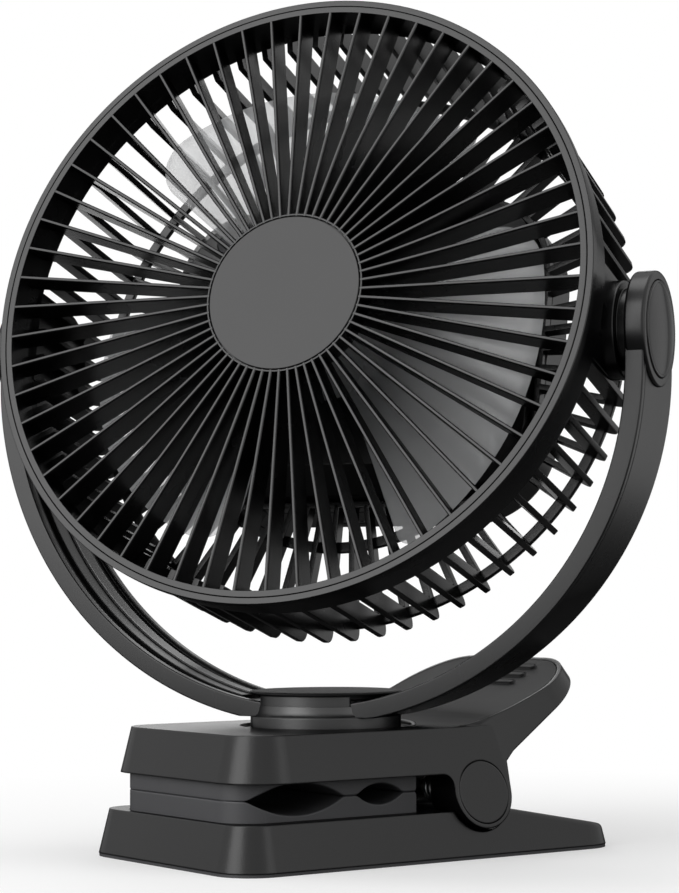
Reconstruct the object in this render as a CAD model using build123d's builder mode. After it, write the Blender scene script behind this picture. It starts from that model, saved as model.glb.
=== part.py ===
from build123d import *
from math import atan2, cos, pi, radians, sin, sqrt, tan
import os

# Clip-on camping fan: a sprung clamp, a swivelling U-shaped yoke and a caged fan head that
# tilts between the yoke's arms. Millimetres. The origin lies on the floor, on the swivel
# axis; +Z is up, and the clamp's mouth opens towards -Y.

os.makedirs("parts", exist_ok=True)

# ---------------------------------------------------------------- driving dimensions
# Pose at rest, degrees
yaw = 31.26                  # yoke turned on the clamp
tilt = 15.42                 # head tipped up in the yoke

# Fits
seat_gap = 0.3               # between curved faces of two bodies
nest_gap = 0.2               # between nested pieces of one body
shaft_gap = 0.05             # radial, round a pin or shaft

# Clamp, lower jaw
jaw_draft = 13.5             # degrees, the lean of the clamp's sides
sole_thickness = 1.0
sole_inset = 0.4
base_width = 93.8            # at the floor
base_front = -64.5
base_rear = 88.0
base_corner = 13.5
base_height = 15.2
base_slope_start = 41.5      # where the top starts to fall towards the rear
base_slope = 11.0            # degrees
base_wall = 2.5

# Clamp, upper jaw and lever
jaw_bottom = 27.2
jaw_top = 41.8
jaw_top_width = 79.0
jaw_front = -56.1            # at the top
jaw_front_corner = 13.0
lever_end = 78.4
lever_corner = 20.0
lever_tip_height = 62.4
lever_width = 78.0
lever_length = 62.0
lever_drop = 24.0            # how far its leaning sides go down
lever_root = (45.0, 33.4)    # y, z where the lever's underside starts
lever_under_slope = 34.3     # degrees
throat_angle = 172.0         # degrees round the hinge boss, where the clamp's throat meets it
throat_round = 4.0
jaw_ceiling = 38.2           # underside of the top wall
jaw_wall = 3.0

# Clamp hinge
hinge_y = 30.6
hinge_z = 20.9
hinge_boss_radius = 11.3
hinge_recess_gap = 1.2
hinge_cap_radius = 9.8
hinge_cap_depth = 3.0
cheek_inner = 31.0           # inner face of the upper jaw's cheeks, from the middle
lug_inner = 8.0
lug_outer = 14.0
lug_radius = 8.0
pin_radius = 2.5
pin_end = 37.5
spring_wire = 2.0
spring_coil_radius = 4.2     # to the middle of the wire
spring_turns = 5
spring_half_length = 29.0

# Jaw pads
pad_half_width = 36.4
pad_front = -58.0
pad_rear = 9.4
pad_corner = 12.0
pad_meet = 22.05             # height at which the two pads meet
pad_parting = 0.5            # left between the pads
pad_recess = 2.0             # how deep each pad sits in its jaw
big_lens = (-39.6, 36.0, 4.95)    # middle, width and half height of the large grip hollow
small_lens = (-6.4, 17.9, 3.25)   # the same for the small one
lens_edge = 2.4              # rounding between a hollow and the pad's face

# Lever pad
lever_pad_start = 6.0
lever_pad_thickness = 1.6
lever_pad_inset = 1.2
grip_bar_length = 40.0
grip_bar_width = 2.4
grip_bar_height = 0.6
grip_bar_places = (62.5, 67.5, 72.5)

# Swivel hub
hub_radius = 24.7            # its floor and the rim under the cap
hub_barrel = 23.0
hub_recess_radius = 28.3
hub_recess_depth = 1.0
hub_floor_top = 45.0
hub_top = 51.8
hub_wall = 2.2
hub_cap_radius = 25.0
hub_cap_top = 53.3
hub_cap_thickness = 1.1
hub_cap_plug = 51.1
post_radius = 8.0
washer_radius = 12.0
washer_thickness = 1.3
swivel_shank = 2.4
swivel_head = (5.0, 3.0)     # radius, height
saddle_screw_place = 12.0
saddle_screw = (1.4, 2.8, 2.0)    # shank radius, head radius, head height
saddle_screw_seat = 47.5
saddle_screw_tip = 42.6

# Yoke
saddle_depth = 2.5           # how far the flat foot cuts into the arc
yoke_drop = 10.8             # the arc's centre below the pivots
yoke_radius = 113.7
yoke_thickness = 6.0
yoke_width = 33.0
channel_width = 27.0
channel_depth = 1.5
strip_width = 15.0
strip_thickness = 1.2
strip_start = 14.2           # degrees up from the foot
strip_end = 86.0
strip_rib = (1.0, 0.5)       # width, height
seam_from_front = 2.4        # thin groove along the outer face
seam_size = 0.4
ear_radius = 18.3
ear_start = 111.4
ear_face = 114.6
ear_recess = 0.8
pivot_cap_radius = 15.3
pivot_cap_proud = 1.6
pivot_cap_edge = 1.2
pivot_screw = (3.0, 6.0, 1.6)     # shank radius, head radius, head height
pivot_screw_seat = 111.8
pivot_screw_tip = 100.0

# Head, seen along its own axis: x across, y up, z forward from the grille's front face
pivot_setback = 34.9         # the pivots lie behind the grille's face
pivot_below = 4.8            # and below its centre
rib_count = 58
rib_thickness = 1.3
rib_depth = 10.0
grille_lip = 98.5
grille_outer = 100.6
grille_depth = 11.0
grille_hub = 27.0
grille_hub_depth = 8.0
disc_radius = 25.5
disc_thickness = 2.5
disc_edge = 0.35
collar_outer = 102.85
collar_depth = 4.0
band_outer = 101.6
band_inner = 99.0
band_rear = 16.5
slat_count = 65
slat_phase = -61.6           # degrees
slat_thickness = 2.0
slat_radial = 7.0
slat_tip_radius = 100.4
slat_corner = 4.0
cage_rear = 62.0
arm_depth = 5.0
hoop_radii = (93.9, 67.4)
hoop_width = 3.6
hoop_depth = 2.0
tab_half_width = 15.7
tab_inner = 98.6
boss_step = 104.0
boss_radius = 13.0
boss_end = 107.4

# Housing behind the fan
housing_front = 43.0
housing_shoulder = 52.0
housing_half = (66.0, 52.0)
housing_corner = 26.0
plateau_half = (58.0, 44.0)
plateau_corner = 18.0
housing_wall = 2.2
flange_width = 2.5
cover_rear = 84.0
cover_edge = 6.0
housing_screw_place = (45.0, 37.0)
housing_post_radius = 3.6
housing_screw = (1.5, 3.0, 1.8)   # shank radius, head radius, head height
housing_screw_tip = 60.0
post_split = 47.6

# Fan
blade_count = 3
blade_tip = 82.0
blade_lead = 20.0            # degrees, the leading edge of the first blade
blade_span = 86.0            # degrees
blade_front = 13.0
blade_depth = 25.0
blade_bow = 2.5
blade_thickness = 1.5
blade_sections = 6
blade_lead_corner = 14.0
blade_trail_corner = 5.0
fan_hub_radius = 24.0
fan_hub_front = 11.0
fan_hub_rear = 37.0
fan_hub_wall = 1.6
fan_hub_edge = 2.5
shaft_radius = 1.5
nut_radius = 3.2
nut_height = 2.0

# Motor
rotor_wall = 1.4
rotor_rear = 35.0
magnet_thickness = 2.0
air_gap = 0.5
stator_front = 18.0
stator_rear = 32.0
stator_teeth = 9
stator_tooth_width = 4.0
stator_core = 9.0
stator_rim = 1.8
stator_shoe = 9.0
mount_flange_radius = 20.0
mount_flange = 3.0
mount_tube_radius = 5.5
mount_tube_front = 16.0
bearing_radius = 4.0
bearing_length = 4.0
bearing_places = (17.0, 38.5)     # rear of the front flange, front of the rear one
motor_screw = (1.2, 2.4, 1.6)
motor_screw_circle = 15.0
motor_screw_tip = 48.0

# Inside the housing
cell_radius = 9.1
cell_length = 65.0
cell_count = 4
cell_pitch = 18.8
tray_wall = 1.4
tray_height = 15.6
board_half = (40.0, 34.0)
board_thickness = 1.6
board_place = 50.0
board_post = (34.0, 28.0)
board_post_radius = 3.0
chip_half = 6.0
chip_height = 1.5
capacitor = (-26.0, 10.0, 4.0, 8.0)  # x, y, radius, height
control_half = (32.0, 6.5)
control_y = 42.5
control_thickness = 1.2
control_standoff = 4.0
control_post_x = 29.0
button_x = -10.0
button_radius = 5.8
button_flange = 7.0
button_flange_thickness = 1.5
button_proud = 1.0
button_gap = 0.2
lens_places = (6.0, 11.0, 16.0, 21.0)
lens_radius = 1.2
lens_bar = 1.2
port_z = 73.0
port_size = (8.9, 3.2, 7.3)  # width, height, length
port_wall = 0.4

# ---------------------------------------------------------------- frames
pivot_height = hub_floor_top - saddle_depth + yoke_radius + yoke_drop
pivot = Vector(0, 0, pivot_height)
across = Vector(cos(radians(yaw)), sin(radians(yaw)), 0)
ahead = Vector(sin(radians(yaw)), -cos(radians(yaw)), 0)
up = Vector(0, 0, 1)
yoke_frame = Plane(origin=pivot, x_dir=across, z_dir=ahead)
facing = ahead * cos(radians(tilt)) + up * sin(radians(tilt))
pivot_frame = Plane(origin=pivot, x_dir=across, z_dir=facing)
head_centre = pivot_frame.from_local_coords((0, pivot_below, pivot_setback))
head = Plane(origin=head_centre, x_dir=across, z_dir=facing)
foot = Plane(origin=(0, 0, 0), x_dir=across, z_dir=up)

# The yoke's pieces are drawn at the origin, x across and z ahead, with the pivots on the x axis,
# and the head's pieces with the grille's front face on XY; each is then put in its frame.
front = Plane.XY
trunnion = Plane(origin=(0, -pivot_below, -pivot_setback))


def at(plane, x=0.0, y=0.0, z=0.0):
    """The plane moved to a point given in its own coordinates."""
    return Plane(origin=plane.from_local_coords((x, y, z)), x_dir=plane.x_dir, z_dir=plane.z_dir)


def sideways(plane, x, side=1):
    """A plane facing outwards across the given plane, at a distance x from its middle."""
    return Plane(origin=plane.from_local_coords((side * x, 0, 0)), x_dir=plane.z_dir * -side,
                 z_dir=plane.x_dir * side)


def tube(plane, outer, inner, start, end):
    """A ring of two radii between two depths behind the plane."""
    with BuildPart() as ring:
        with BuildSketch(plane.offset(-end)):
            Circle(outer)
            Circle(inner, mode=Mode.SUBTRACT)
        extrude(amount=end - start)
    return ring.part


def rod(plane, radius, start, end, places=((0, 0),)):
    """Round bars at some places on the plane, between two depths behind it."""
    with BuildPart() as bars:
        with BuildSketch(plane.offset(-end)):
            with Locations(*places):
                Circle(radius)
        extrude(amount=end - start)
    return bars.part


# ---------------------------------------------------------------- clamp outlines
draft = tan(radians(jaw_draft))
hinge_pin_hole = pin_radius + shaft_gap
side_reach = 60.0            # past either side of the clamp
side_frame = Plane.YZ.offset(-side_reach)


def plan_outline(height, width, front, rear, front_corner, rear_corner, inset):
    """The clamp's rounded outline in plan, drawn in by an inset all round."""
    with BuildSketch(Plane.XY.offset(height)) as outline:
        with Locations((0, (front + rear) / 2)):
            Rectangle(width - 2 * inset, rear - front - 2 * inset)
        fillet(outline.vertices().group_by(Axis.Y)[0], front_corner - inset)
        fillet(outline.vertices().group_by(Axis.Y)[-1], rear_corner - inset)
    return outline.sketch


def lower_outline(height, inset=0.0):
    """Lower jaw in plan: its sides lean in by the draft as they rise."""
    lean = height * draft
    return plan_outline(height, base_width, base_front, base_rear, base_corner, base_corner,
                        inset + lean)


def upper_outline(height, inset=0.0):
    """Upper jaw in plan: its sides lean in by the draft as they rise to its top."""
    lean = (jaw_top - height) * draft
    return plan_outline(height, jaw_top_width, jaw_front, lever_end, jaw_front_corner,
                        lever_corner, inset - lean)


def pad_outline(height, inset=0.0):
    """Jaw pad in plan, square at its rear end."""
    with BuildSketch(Plane.XY.offset(height)) as outline:
        with Locations((0, (pad_front + pad_rear) / 2)):
            Rectangle(2 * (pad_half_width - inset), pad_rear - pad_front - 2 * inset)
        fillet(outline.vertices().group_by(Axis.Y)[0], pad_corner - inset)
    return outline.sketch


# ---------------------------------------------------------------- lower jaw and its sole
with BuildPart() as base_sole:
    add(lower_outline(0, sole_inset))
    extrude(amount=sole_thickness)
base_sole.part.label = "base_sole"
export_step(base_sole.part, "parts/base_sole.step")

slope_drop = (base_rear - base_slope_start) * tan(radians(base_slope))
hinge_recess = hinge_boss_radius + hinge_recess_gap
pocket_roof = base_height - pad_recess - base_wall
front_pocket = (base_front + 4 * base_wall, hinge_y - hinge_recess - base_wall)

with BuildPart() as lower_jaw:
    add(lower_outline(sole_thickness))
    add(lower_outline(base_height))
    loft(ruled=True)
    with BuildSketch(side_frame) as side_view:
        with BuildLine():
            Polyline(
                (base_front - base_wall, sole_thickness),
                (base_rear + base_wall, sole_thickness),
                (base_rear + base_wall, base_height - slope_drop),
                (base_slope_start, base_height),
                (base_front - base_wall, base_height),
                close=True,
            )
        make_face()
    extrude(amount=2 * side_reach, dir=(1, 0, 0), mode=Mode.INTERSECT)
    fillet(lower_jaw.faces().sort_by(Axis.Y)[-1].edges().sort_by(Axis.Z)[-1], 2.0)
    # pocket under the front pad, closed by the sole
    with BuildSketch(Plane.XY.offset(sole_thickness)):
        with Locations((0, sum(front_pocket) / 2)):
            RectangleRounded(base_width - 8 * base_wall, front_pocket[1] - front_pocket[0], 6)
    extrude(amount=pocket_roof - sole_thickness, mode=Mode.SUBTRACT)
    # the pad's seat
    add(pad_outline(base_height - pad_recess, -nest_gap))
    extrude(amount=pad_recess, mode=Mode.SUBTRACT)
    # round recesses for the upper jaw's bosses, and the two hinge lugs between them
    for side in (-1, 1):
        with BuildSketch(Plane.YZ.offset(side * (cheek_inner - seat_gap))):
            with Locations((hinge_y, hinge_z)):
                Circle(hinge_recess)
        extrude(amount=side * side_reach, mode=Mode.SUBTRACT)
        with BuildSketch(Plane.YZ.offset(side * lug_inner)):
            with Locations((hinge_y, hinge_z)):
                Circle(lug_radius)
            with Locations((hinge_y, (hinge_z + base_height - base_wall) / 2)):
                Rectangle(2 * lug_radius, hinge_z - base_height + base_wall)
        extrude(amount=side * (lug_outer - lug_inner))
    with BuildSketch(side_frame):
        with Locations((hinge_y, hinge_z)):
            Circle(hinge_pin_hole)
    extrude(amount=2 * side_reach, dir=(1, 0, 0), mode=Mode.SUBTRACT)
lower_jaw.part.label = "lower_jaw"
export_step(lower_jaw.part, "parts/lower_jaw.step")


# ---------------------------------------------------------------- jaw pads
def lens_circle(lens, level, side):
    """Circle whose arc cuts a grip hollow into a pad's face at the given level."""
    middle, width, height = lens
    depth = height - abs(level - pad_meet)
    radius = ((width / 2) ** 2 + depth ** 2) / (2 * depth)
    return (middle, level + side * (radius - depth)), radius


def pad_profile(seat, face, side):
    """Side view of a pad from its seat to its gripping face, with the two grip hollows."""
    low, high = sorted((seat, face))
    with BuildSketch(side_frame) as profile:
        with Locations(((pad_front + pad_rear) / 2, (low + high) / 2)):
            Rectangle(pad_rear - pad_front, high - low)
        for lens in (big_lens, small_lens):
            centre, radius = lens_circle(lens, face, side)
            with Locations(centre):
                Circle(radius, mode=Mode.SUBTRACT)
        crests = [v for v in profile.vertices()
                  if abs(v.Y - face) < 0.01 and pad_front + lens_edge < v.X < pad_rear - lens_edge]
        fillet(crests, lens_edge)
    return profile.sketch


lower_face = pad_meet - pad_parting / 2
upper_face = pad_meet + pad_parting / 2

with BuildPart() as lower_pad:
    add(pad_outline(base_height - pad_recess))
    extrude(amount=lower_face - base_height + pad_recess)
    add(pad_profile(base_height - pad_recess, lower_face, 1))
    extrude(amount=2 * side_reach, dir=(1, 0, 0), mode=Mode.INTERSECT)
lower_pad.part.label = "lower_pad"
export_step(lower_pad.part, "parts/lower_pad.step")

with BuildPart() as upper_pad:
    add(pad_outline(upper_face))
    extrude(amount=jaw_bottom + pad_recess - upper_face)
    add(pad_profile(jaw_bottom + pad_recess, upper_face, -1))
    extrude(amount=2 * side_reach, dir=(1, 0, 0), mode=Mode.INTERSECT)
upper_pad.part.label = "upper_pad"
export_step(upper_pad.part, "parts/upper_pad.step")

# ---------------------------------------------------------------- lever pad and upper jaw
top_curve = ((20.0, jaw_top), (41.3, 45.6), (59.9, 52.8), (lever_end, lever_tip_height))
top_curve_ends = ((1.0, 0.0), (0.86, 0.51))      # directions at the curve's two ends
envelope_bottom = hinge_z - hinge_boss_radius - jaw_wall
lever_reach = lever_end + lever_corner      # past the lever's end
throat = radians(throat_angle)


def under_top(depth):
    """Side view of all that lies under the clamp's top line lowered by a depth."""
    with BuildSketch(side_frame) as view:
        with BuildLine():
            curve = Spline(*[(y, z - depth) for y, z in top_curve], tangents=top_curve_ends)
            Polyline(
                curve @ 1,
                (lever_reach, (curve @ 1).Y),
                (lever_reach, 0),
                (base_front - jaw_wall, 0),
                (base_front - jaw_wall, jaw_top - depth),
                curve @ 0,
            )
        make_face()
    return view.sketch


def jaw_underside():
    """Side view of all that lies over the upper jaw's bottom line, round its hinge boss."""
    tangent_point = (hinge_y + hinge_boss_radius * cos(throat),
                     hinge_z + hinge_boss_radius * sin(throat))
    rise = jaw_bottom - tangent_point[1]
    corner = (tangent_point[0] + rise * tan(throat), jaw_bottom)
    rear = hinge_y + hinge_boss_radius
    under_rise = (lever_reach - lever_root[0]) * tan(radians(lever_under_slope))
    with BuildSketch(side_frame) as view:
        with BuildLine():
            ThreePointArc(tangent_point, (hinge_y, hinge_z - hinge_boss_radius), (rear, hinge_z))
            Polyline(
                (rear, hinge_z),
                (rear, lever_root[1] - (lever_root[0] - rear)),
                lever_root,
                (lever_reach, lever_root[1] + under_rise),
                (lever_reach, lever_reach),
                (base_front - jaw_wall, lever_reach),
                (base_front - jaw_wall, jaw_bottom),
                corner,
                tangent_point,
            )
        make_face()
        rounded = [v for v in view.vertices()
                   if min(abs(v.X - corner[0]), abs(v.X - lever_root[0])) < 0.01]
        fillet(rounded, throat_round)
    return view.sketch


with BuildLine(Plane.YZ) as top_edge:
    Spline(*top_curve, tangents=top_curve_ends)


def on_top(place):
    """The plane that lies on the clamp's top line at a place along it, facing outwards."""
    share = (place - top_curve[0][0]) / (lever_end - top_curve[0][0])
    spot = top_edge.line @ share
    along = top_edge.line % share
    return Plane(origin=spot, x_dir=(1, 0, 0), z_dir=Vector(1, 0, 0).cross(along))


lever_slope = atan2(lever_tip_height - top_curve[1][1], lever_end - top_curve[1][0])
lever_frame = Plane(origin=(0, lever_end, lever_tip_height), x_dir=(1, 0, 0),
                    z_dir=(0, -sin(lever_slope), cos(lever_slope)))


def lever_outline(depth):
    """The lever seen from over its slope: its sides lean out as they go down."""
    lean = depth * draft
    with BuildSketch(Plane.XY.offset(-depth)) as outline:
        with Locations((0, (lean - lever_length) / 2)):
            Rectangle(lever_width + 2 * lean, lever_length + lean)
        fillet(outline.vertices().group_by(Axis.Y)[-1], lever_corner + lean)
    return outline.sketch


with BuildPart() as lever_envelope:
    add(lever_outline(0))
    add(lever_outline(lever_drop))
    loft(ruled=True)
    add(lever_outline(0))
    extrude(amount=2 * jaw_wall)

with BuildPart() as jaw_envelope:
    add(upper_outline(envelope_bottom))
    add(upper_outline(jaw_top))
    loft(ruled=True)
    add(lever_envelope.part.locate(lever_frame.location))

with BuildPart() as lever_pad:
    add(upper_outline(jaw_top, lever_pad_inset))
    extrude(amount=lever_tip_height - jaw_top + jaw_wall, both=True)
    add(under_top(0))
    extrude(amount=2 * side_reach, dir=(1, 0, 0), mode=Mode.INTERSECT)
    add(under_top(lever_pad_thickness))
    extrude(amount=2 * side_reach, dir=(1, 0, 0), mode=Mode.SUBTRACT)
    with BuildSketch():
        with Locations((0, (lever_pad_start + base_front) / 2 - jaw_wall)):
            Rectangle(2 * side_reach, lever_pad_start - base_front + 2 * jaw_wall)
        Circle(hub_recess_radius + lever_pad_inset)
    extrude(amount=lever_tip_height, mode=Mode.SUBTRACT)
    # three raised bars across the finger end
    for place in grip_bar_places:
        with BuildSketch(on_top(place).offset(-grip_bar_height)):
            SlotOverall(grip_bar_length, grip_bar_width)
        extrude(amount=2 * grip_bar_height)
lever_pad.part.label = "lever_pad"
export_step(lever_pad.part, "parts/lever_pad.step")

jaw_half_at_cap = jaw_top_width / 2 + (jaw_top - hinge_z - hinge_cap_radius) * draft
cap_seat = jaw_half_at_cap - hinge_cap_depth
cavity_front = jaw_front + 2 * jaw_wall
cavity_rear = pad_rear - jaw_wall / 2
opening_front = washer_radius + 2 * seat_gap + jaw_wall
opening_top = jaw_ceiling - base_wall - jaw_wall / 2

with BuildPart() as upper_jaw:
    add(jaw_envelope.part)
    add(jaw_underside())
    extrude(amount=2 * side_reach, dir=(1, 0, 0), mode=Mode.INTERSECT)
    add(under_top(0))
    extrude(amount=2 * side_reach, dir=(1, 0, 0), mode=Mode.INTERSECT)
    add(lever_pad.part, mode=Mode.SUBTRACT)
    # the pad's seat and the cavity above it
    add(pad_outline(jaw_bottom, -nest_gap))
    extrude(amount=pad_recess, mode=Mode.SUBTRACT)
    with BuildSketch(Plane.XY.offset(jaw_bottom)):
        with Locations((0, (cavity_front + cavity_rear) / 2)):
            RectangleRounded(jaw_top_width - 2 * jaw_wall, cavity_rear - cavity_front, pad_corner)
    extrude(amount=jaw_ceiling - jaw_bottom, mode=Mode.SUBTRACT)
    # room between the cheeks for the springs and the lower jaw's lugs
    with BuildSketch():
        with Locations((0, (opening_front + lever_end) / 2)):
            Rectangle(2 * cheek_inner, lever_end - opening_front)
    extrude(amount=opening_top, mode=Mode.SUBTRACT)
    # the hub's round recess and the bore that its post turns in
    with BuildSketch(Plane.XY.offset(jaw_top - hub_recess_depth)):
        Circle(hub_recess_radius)
    extrude(amount=lever_tip_height - jaw_top, mode=Mode.SUBTRACT)
    with BuildSketch(Plane.XY.offset(jaw_top)):
        Circle(post_radius + shaft_gap)
    extrude(amount=jaw_bottom - jaw_top, mode=Mode.SUBTRACT)
    with BuildSketch(Plane.XY.offset(jaw_bottom + pad_recess)):
        Circle(washer_radius + 2 * seat_gap)
    extrude(amount=jaw_ceiling - jaw_bottom - pad_recess, mode=Mode.SUBTRACT)
    for side in (-1, 1):
        with BuildSketch(Plane.YZ.offset(side * cap_seat)):
            with Locations((hinge_y, hinge_z)):
                Circle(hinge_cap_radius + nest_gap)
        extrude(amount=side * side_reach, mode=Mode.SUBTRACT)
    with BuildSketch(side_frame):
        with Locations((hinge_y, hinge_z)):
            Circle(hinge_pin_hole)
    extrude(amount=2 * side_reach, dir=(1, 0, 0), mode=Mode.SUBTRACT)
upper_jaw.part.label = "upper_jaw"
export_step(upper_jaw.part, "parts/upper_jaw.step")

# ---------------------------------------------------------------- clamp hinge
for side, name in ((-1, "hinge_cap_left"), (1, "hinge_cap_right")):
    with BuildPart() as hinge_cap:
        with BuildSketch(Plane.YZ.offset(side * cap_seat)):
            with Locations((hinge_y, hinge_z)):
                Circle(hinge_cap_radius)
        extrude(amount=side * side_reach / 2)
        add(jaw_envelope.part, mode=Mode.INTERSECT)
    hinge_cap.part.label = name
    export_step(hinge_cap.part, f"parts/{name}.step")

with BuildPart() as hinge_pin:
    with BuildSketch(Plane.YZ.offset(-pin_end)):
        with Locations((hinge_y, hinge_z)):
            Circle(pin_radius)
    extrude(amount=2 * pin_end)
    chamfer(hinge_pin.edges().filter_by(GeomType.CIRCLE), pin_radius / 5)
hinge_pin.part.label = "hinge_pin"
export_step(hinge_pin.part, "parts/hinge_pin.step")

spring_pitch = spring_wire * 1.15
spring_leg = opening_top - hinge_z - spring_coil_radius

with BuildPart() as torsion_springs:
    for side in (-1, 1):
        with BuildLine() as wire:
            coil = Helix(
                pitch=spring_pitch,
                height=spring_pitch * spring_turns,
                radius=spring_coil_radius,
                center=(side * spring_half_length, hinge_y, hinge_z),
                direction=(-side, 0, 0),
            )
            Line(coil @ 0, coil @ 0 - (coil % 0) * spring_leg)
            Line(coil @ 1, coil @ 1 + (coil % 1) * spring_leg)
        with BuildSketch(Plane(origin=wire.line @ 0, z_dir=wire.line % 0)):
            Circle(spring_wire / 2)
        sweep(path=wire.line, is_frenet=True)
torsion_springs.part.label = "torsion_springs"
export_step(torsion_springs.part, "parts/torsion_springs.step")

# ---------------------------------------------------------------- swivel hub
hub_bottom = jaw_top - hub_recess_depth + seat_gap
washer_top = jaw_ceiling - seat_gap
saddle_places = ((-saddle_screw_place, 0), (saddle_screw_place, 0))

with BuildPart() as swivel_hub:
    with BuildSketch(Plane.XY.offset(hub_bottom)):
        Circle(hub_radius)
    extrude(amount=hub_floor_top - hub_bottom)
    with BuildSketch(Plane.XY.offset(hub_floor_top)):
        Circle(hub_barrel)
        Circle(hub_barrel - hub_wall, mode=Mode.SUBTRACT)
    extrude(amount=hub_top - hub_floor_top)
    # slots that the yoke's foot passes through
    with BuildSketch(foot.offset(hub_floor_top)):
        Rectangle(2 * hub_cap_radius, yoke_width + 2 * nest_gap)
    extrude(amount=hub_top - hub_floor_top, mode=Mode.SUBTRACT)
    # post in the clamp's bore
    with BuildSketch(Plane.XY.offset(washer_top)):
        Circle(post_radius)
    extrude(amount=hub_bottom - washer_top)
    with BuildSketch(Plane.XY.offset(washer_top)):
        Circle(swivel_shank + shaft_gap)
    extrude(amount=hub_floor_top - washer_top - hub_recess_depth, mode=Mode.SUBTRACT)
    with BuildSketch(foot.offset(saddle_screw_tip)):
        with Locations(*saddle_places):
            Circle(saddle_screw[0] + shaft_gap)
    extrude(amount=hub_floor_top - saddle_screw_tip, mode=Mode.SUBTRACT)
swivel_hub.part.label = "swivel_hub"
export_step(swivel_hub.part, "parts/swivel_hub.step")

with BuildPart() as hub_cap:
    with BuildSketch(Plane.XY.offset(hub_cap_top - hub_cap_thickness)):
        Circle(hub_cap_radius)
    extrude(amount=hub_cap_thickness)
    fillet(hub_cap.edges().group_by(Axis.Z)[-1], hub_cap_thickness / 2)
    with BuildSketch(Plane.XY.offset(hub_cap_plug)):
        Circle(hub_barrel - hub_wall - nest_gap)
        Circle(hub_barrel - 2 * hub_wall - nest_gap, mode=Mode.SUBTRACT)
    extrude(amount=hub_cap_top - hub_cap_thickness - hub_cap_plug)
hub_cap.part.label = "hub_cap"
export_step(hub_cap.part, "parts/hub_cap.step")

with BuildPart() as swivel_washer:
    with BuildSketch(Plane.XY.offset(washer_top - washer_thickness)):
        Circle(washer_radius)
        Circle(swivel_shank + shaft_gap, mode=Mode.SUBTRACT)
    extrude(amount=washer_thickness)
swivel_washer.part.label = "swivel_washer"
export_step(swivel_washer.part, "parts/swivel_washer.step")

with BuildPart() as swivel_screw:
    with BuildSketch(Plane.XY.offset(washer_top - washer_thickness - swivel_head[1])):
        Circle(swivel_head[0])
    extrude(amount=swivel_head[1])
    with BuildSketch(Plane.XY.offset(washer_top - washer_thickness)):
        Circle(swivel_shank)
    extrude(amount=hub_floor_top - washer_top - 2 * hub_recess_depth + washer_thickness)
swivel_screw.part.label = "swivel_screw"
export_step(swivel_screw.part, "parts/swivel_screw.step")

with BuildPart() as hub_screws:
    with BuildSketch(foot.offset(saddle_screw_tip)):
        with Locations(*saddle_places):
            Circle(saddle_screw[0])
    extrude(amount=saddle_screw_seat - saddle_screw_tip)
    with BuildSketch(foot.offset(saddle_screw_seat)):
        with Locations(*saddle_places):
            Circle(saddle_screw[1])
    extrude(amount=saddle_screw[2])
hub_screws.part.label = "hub_screws"
export_step(hub_screws.part, "parts/hub_screws.step")


# ---------------------------------------------------------------- yoke
def half_ring(plane, outer, inner):
    """The lower half of a ring round the yoke's arc centre."""
    with BuildSketch(plane) as ring:
        with Locations((0, -yoke_drop)):
            Circle(outer)
            Circle(inner, mode=Mode.SUBTRACT)
        with Locations((0, outer / 2 - yoke_drop)):
            Rectangle(2 * outer, outer, mode=Mode.SUBTRACT)
    return ring.sketch


def ring_piece(plane, outer, inner, start, end):
    """The same ring between two angles."""
    reach = 2 * outer
    corners = [(reach * cos(radians(a)), reach * sin(radians(a))) for a in (start, end)]
    with BuildSketch(plane) as piece:
        with Locations((0, -yoke_drop)):
            Circle(outer)
            Circle(inner, mode=Mode.SUBTRACT)
            Polygon((0, 0), *corners, align=None, mode=Mode.INTERSECT)
    return piece.sketch


def level(height):
    """A level plane in the yoke's own frame, at a height over the floor."""
    return Plane(origin=(0, height - pivot_height, 0), x_dir=(1, 0, 0), z_dir=(0, 1, 0))


yoke_inner = yoke_radius - yoke_thickness
channel_radius = yoke_inner + channel_depth
arm_middle = yoke_radius - yoke_thickness / 2
groove_face = yoke_width / 2 - seam_from_front

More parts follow.
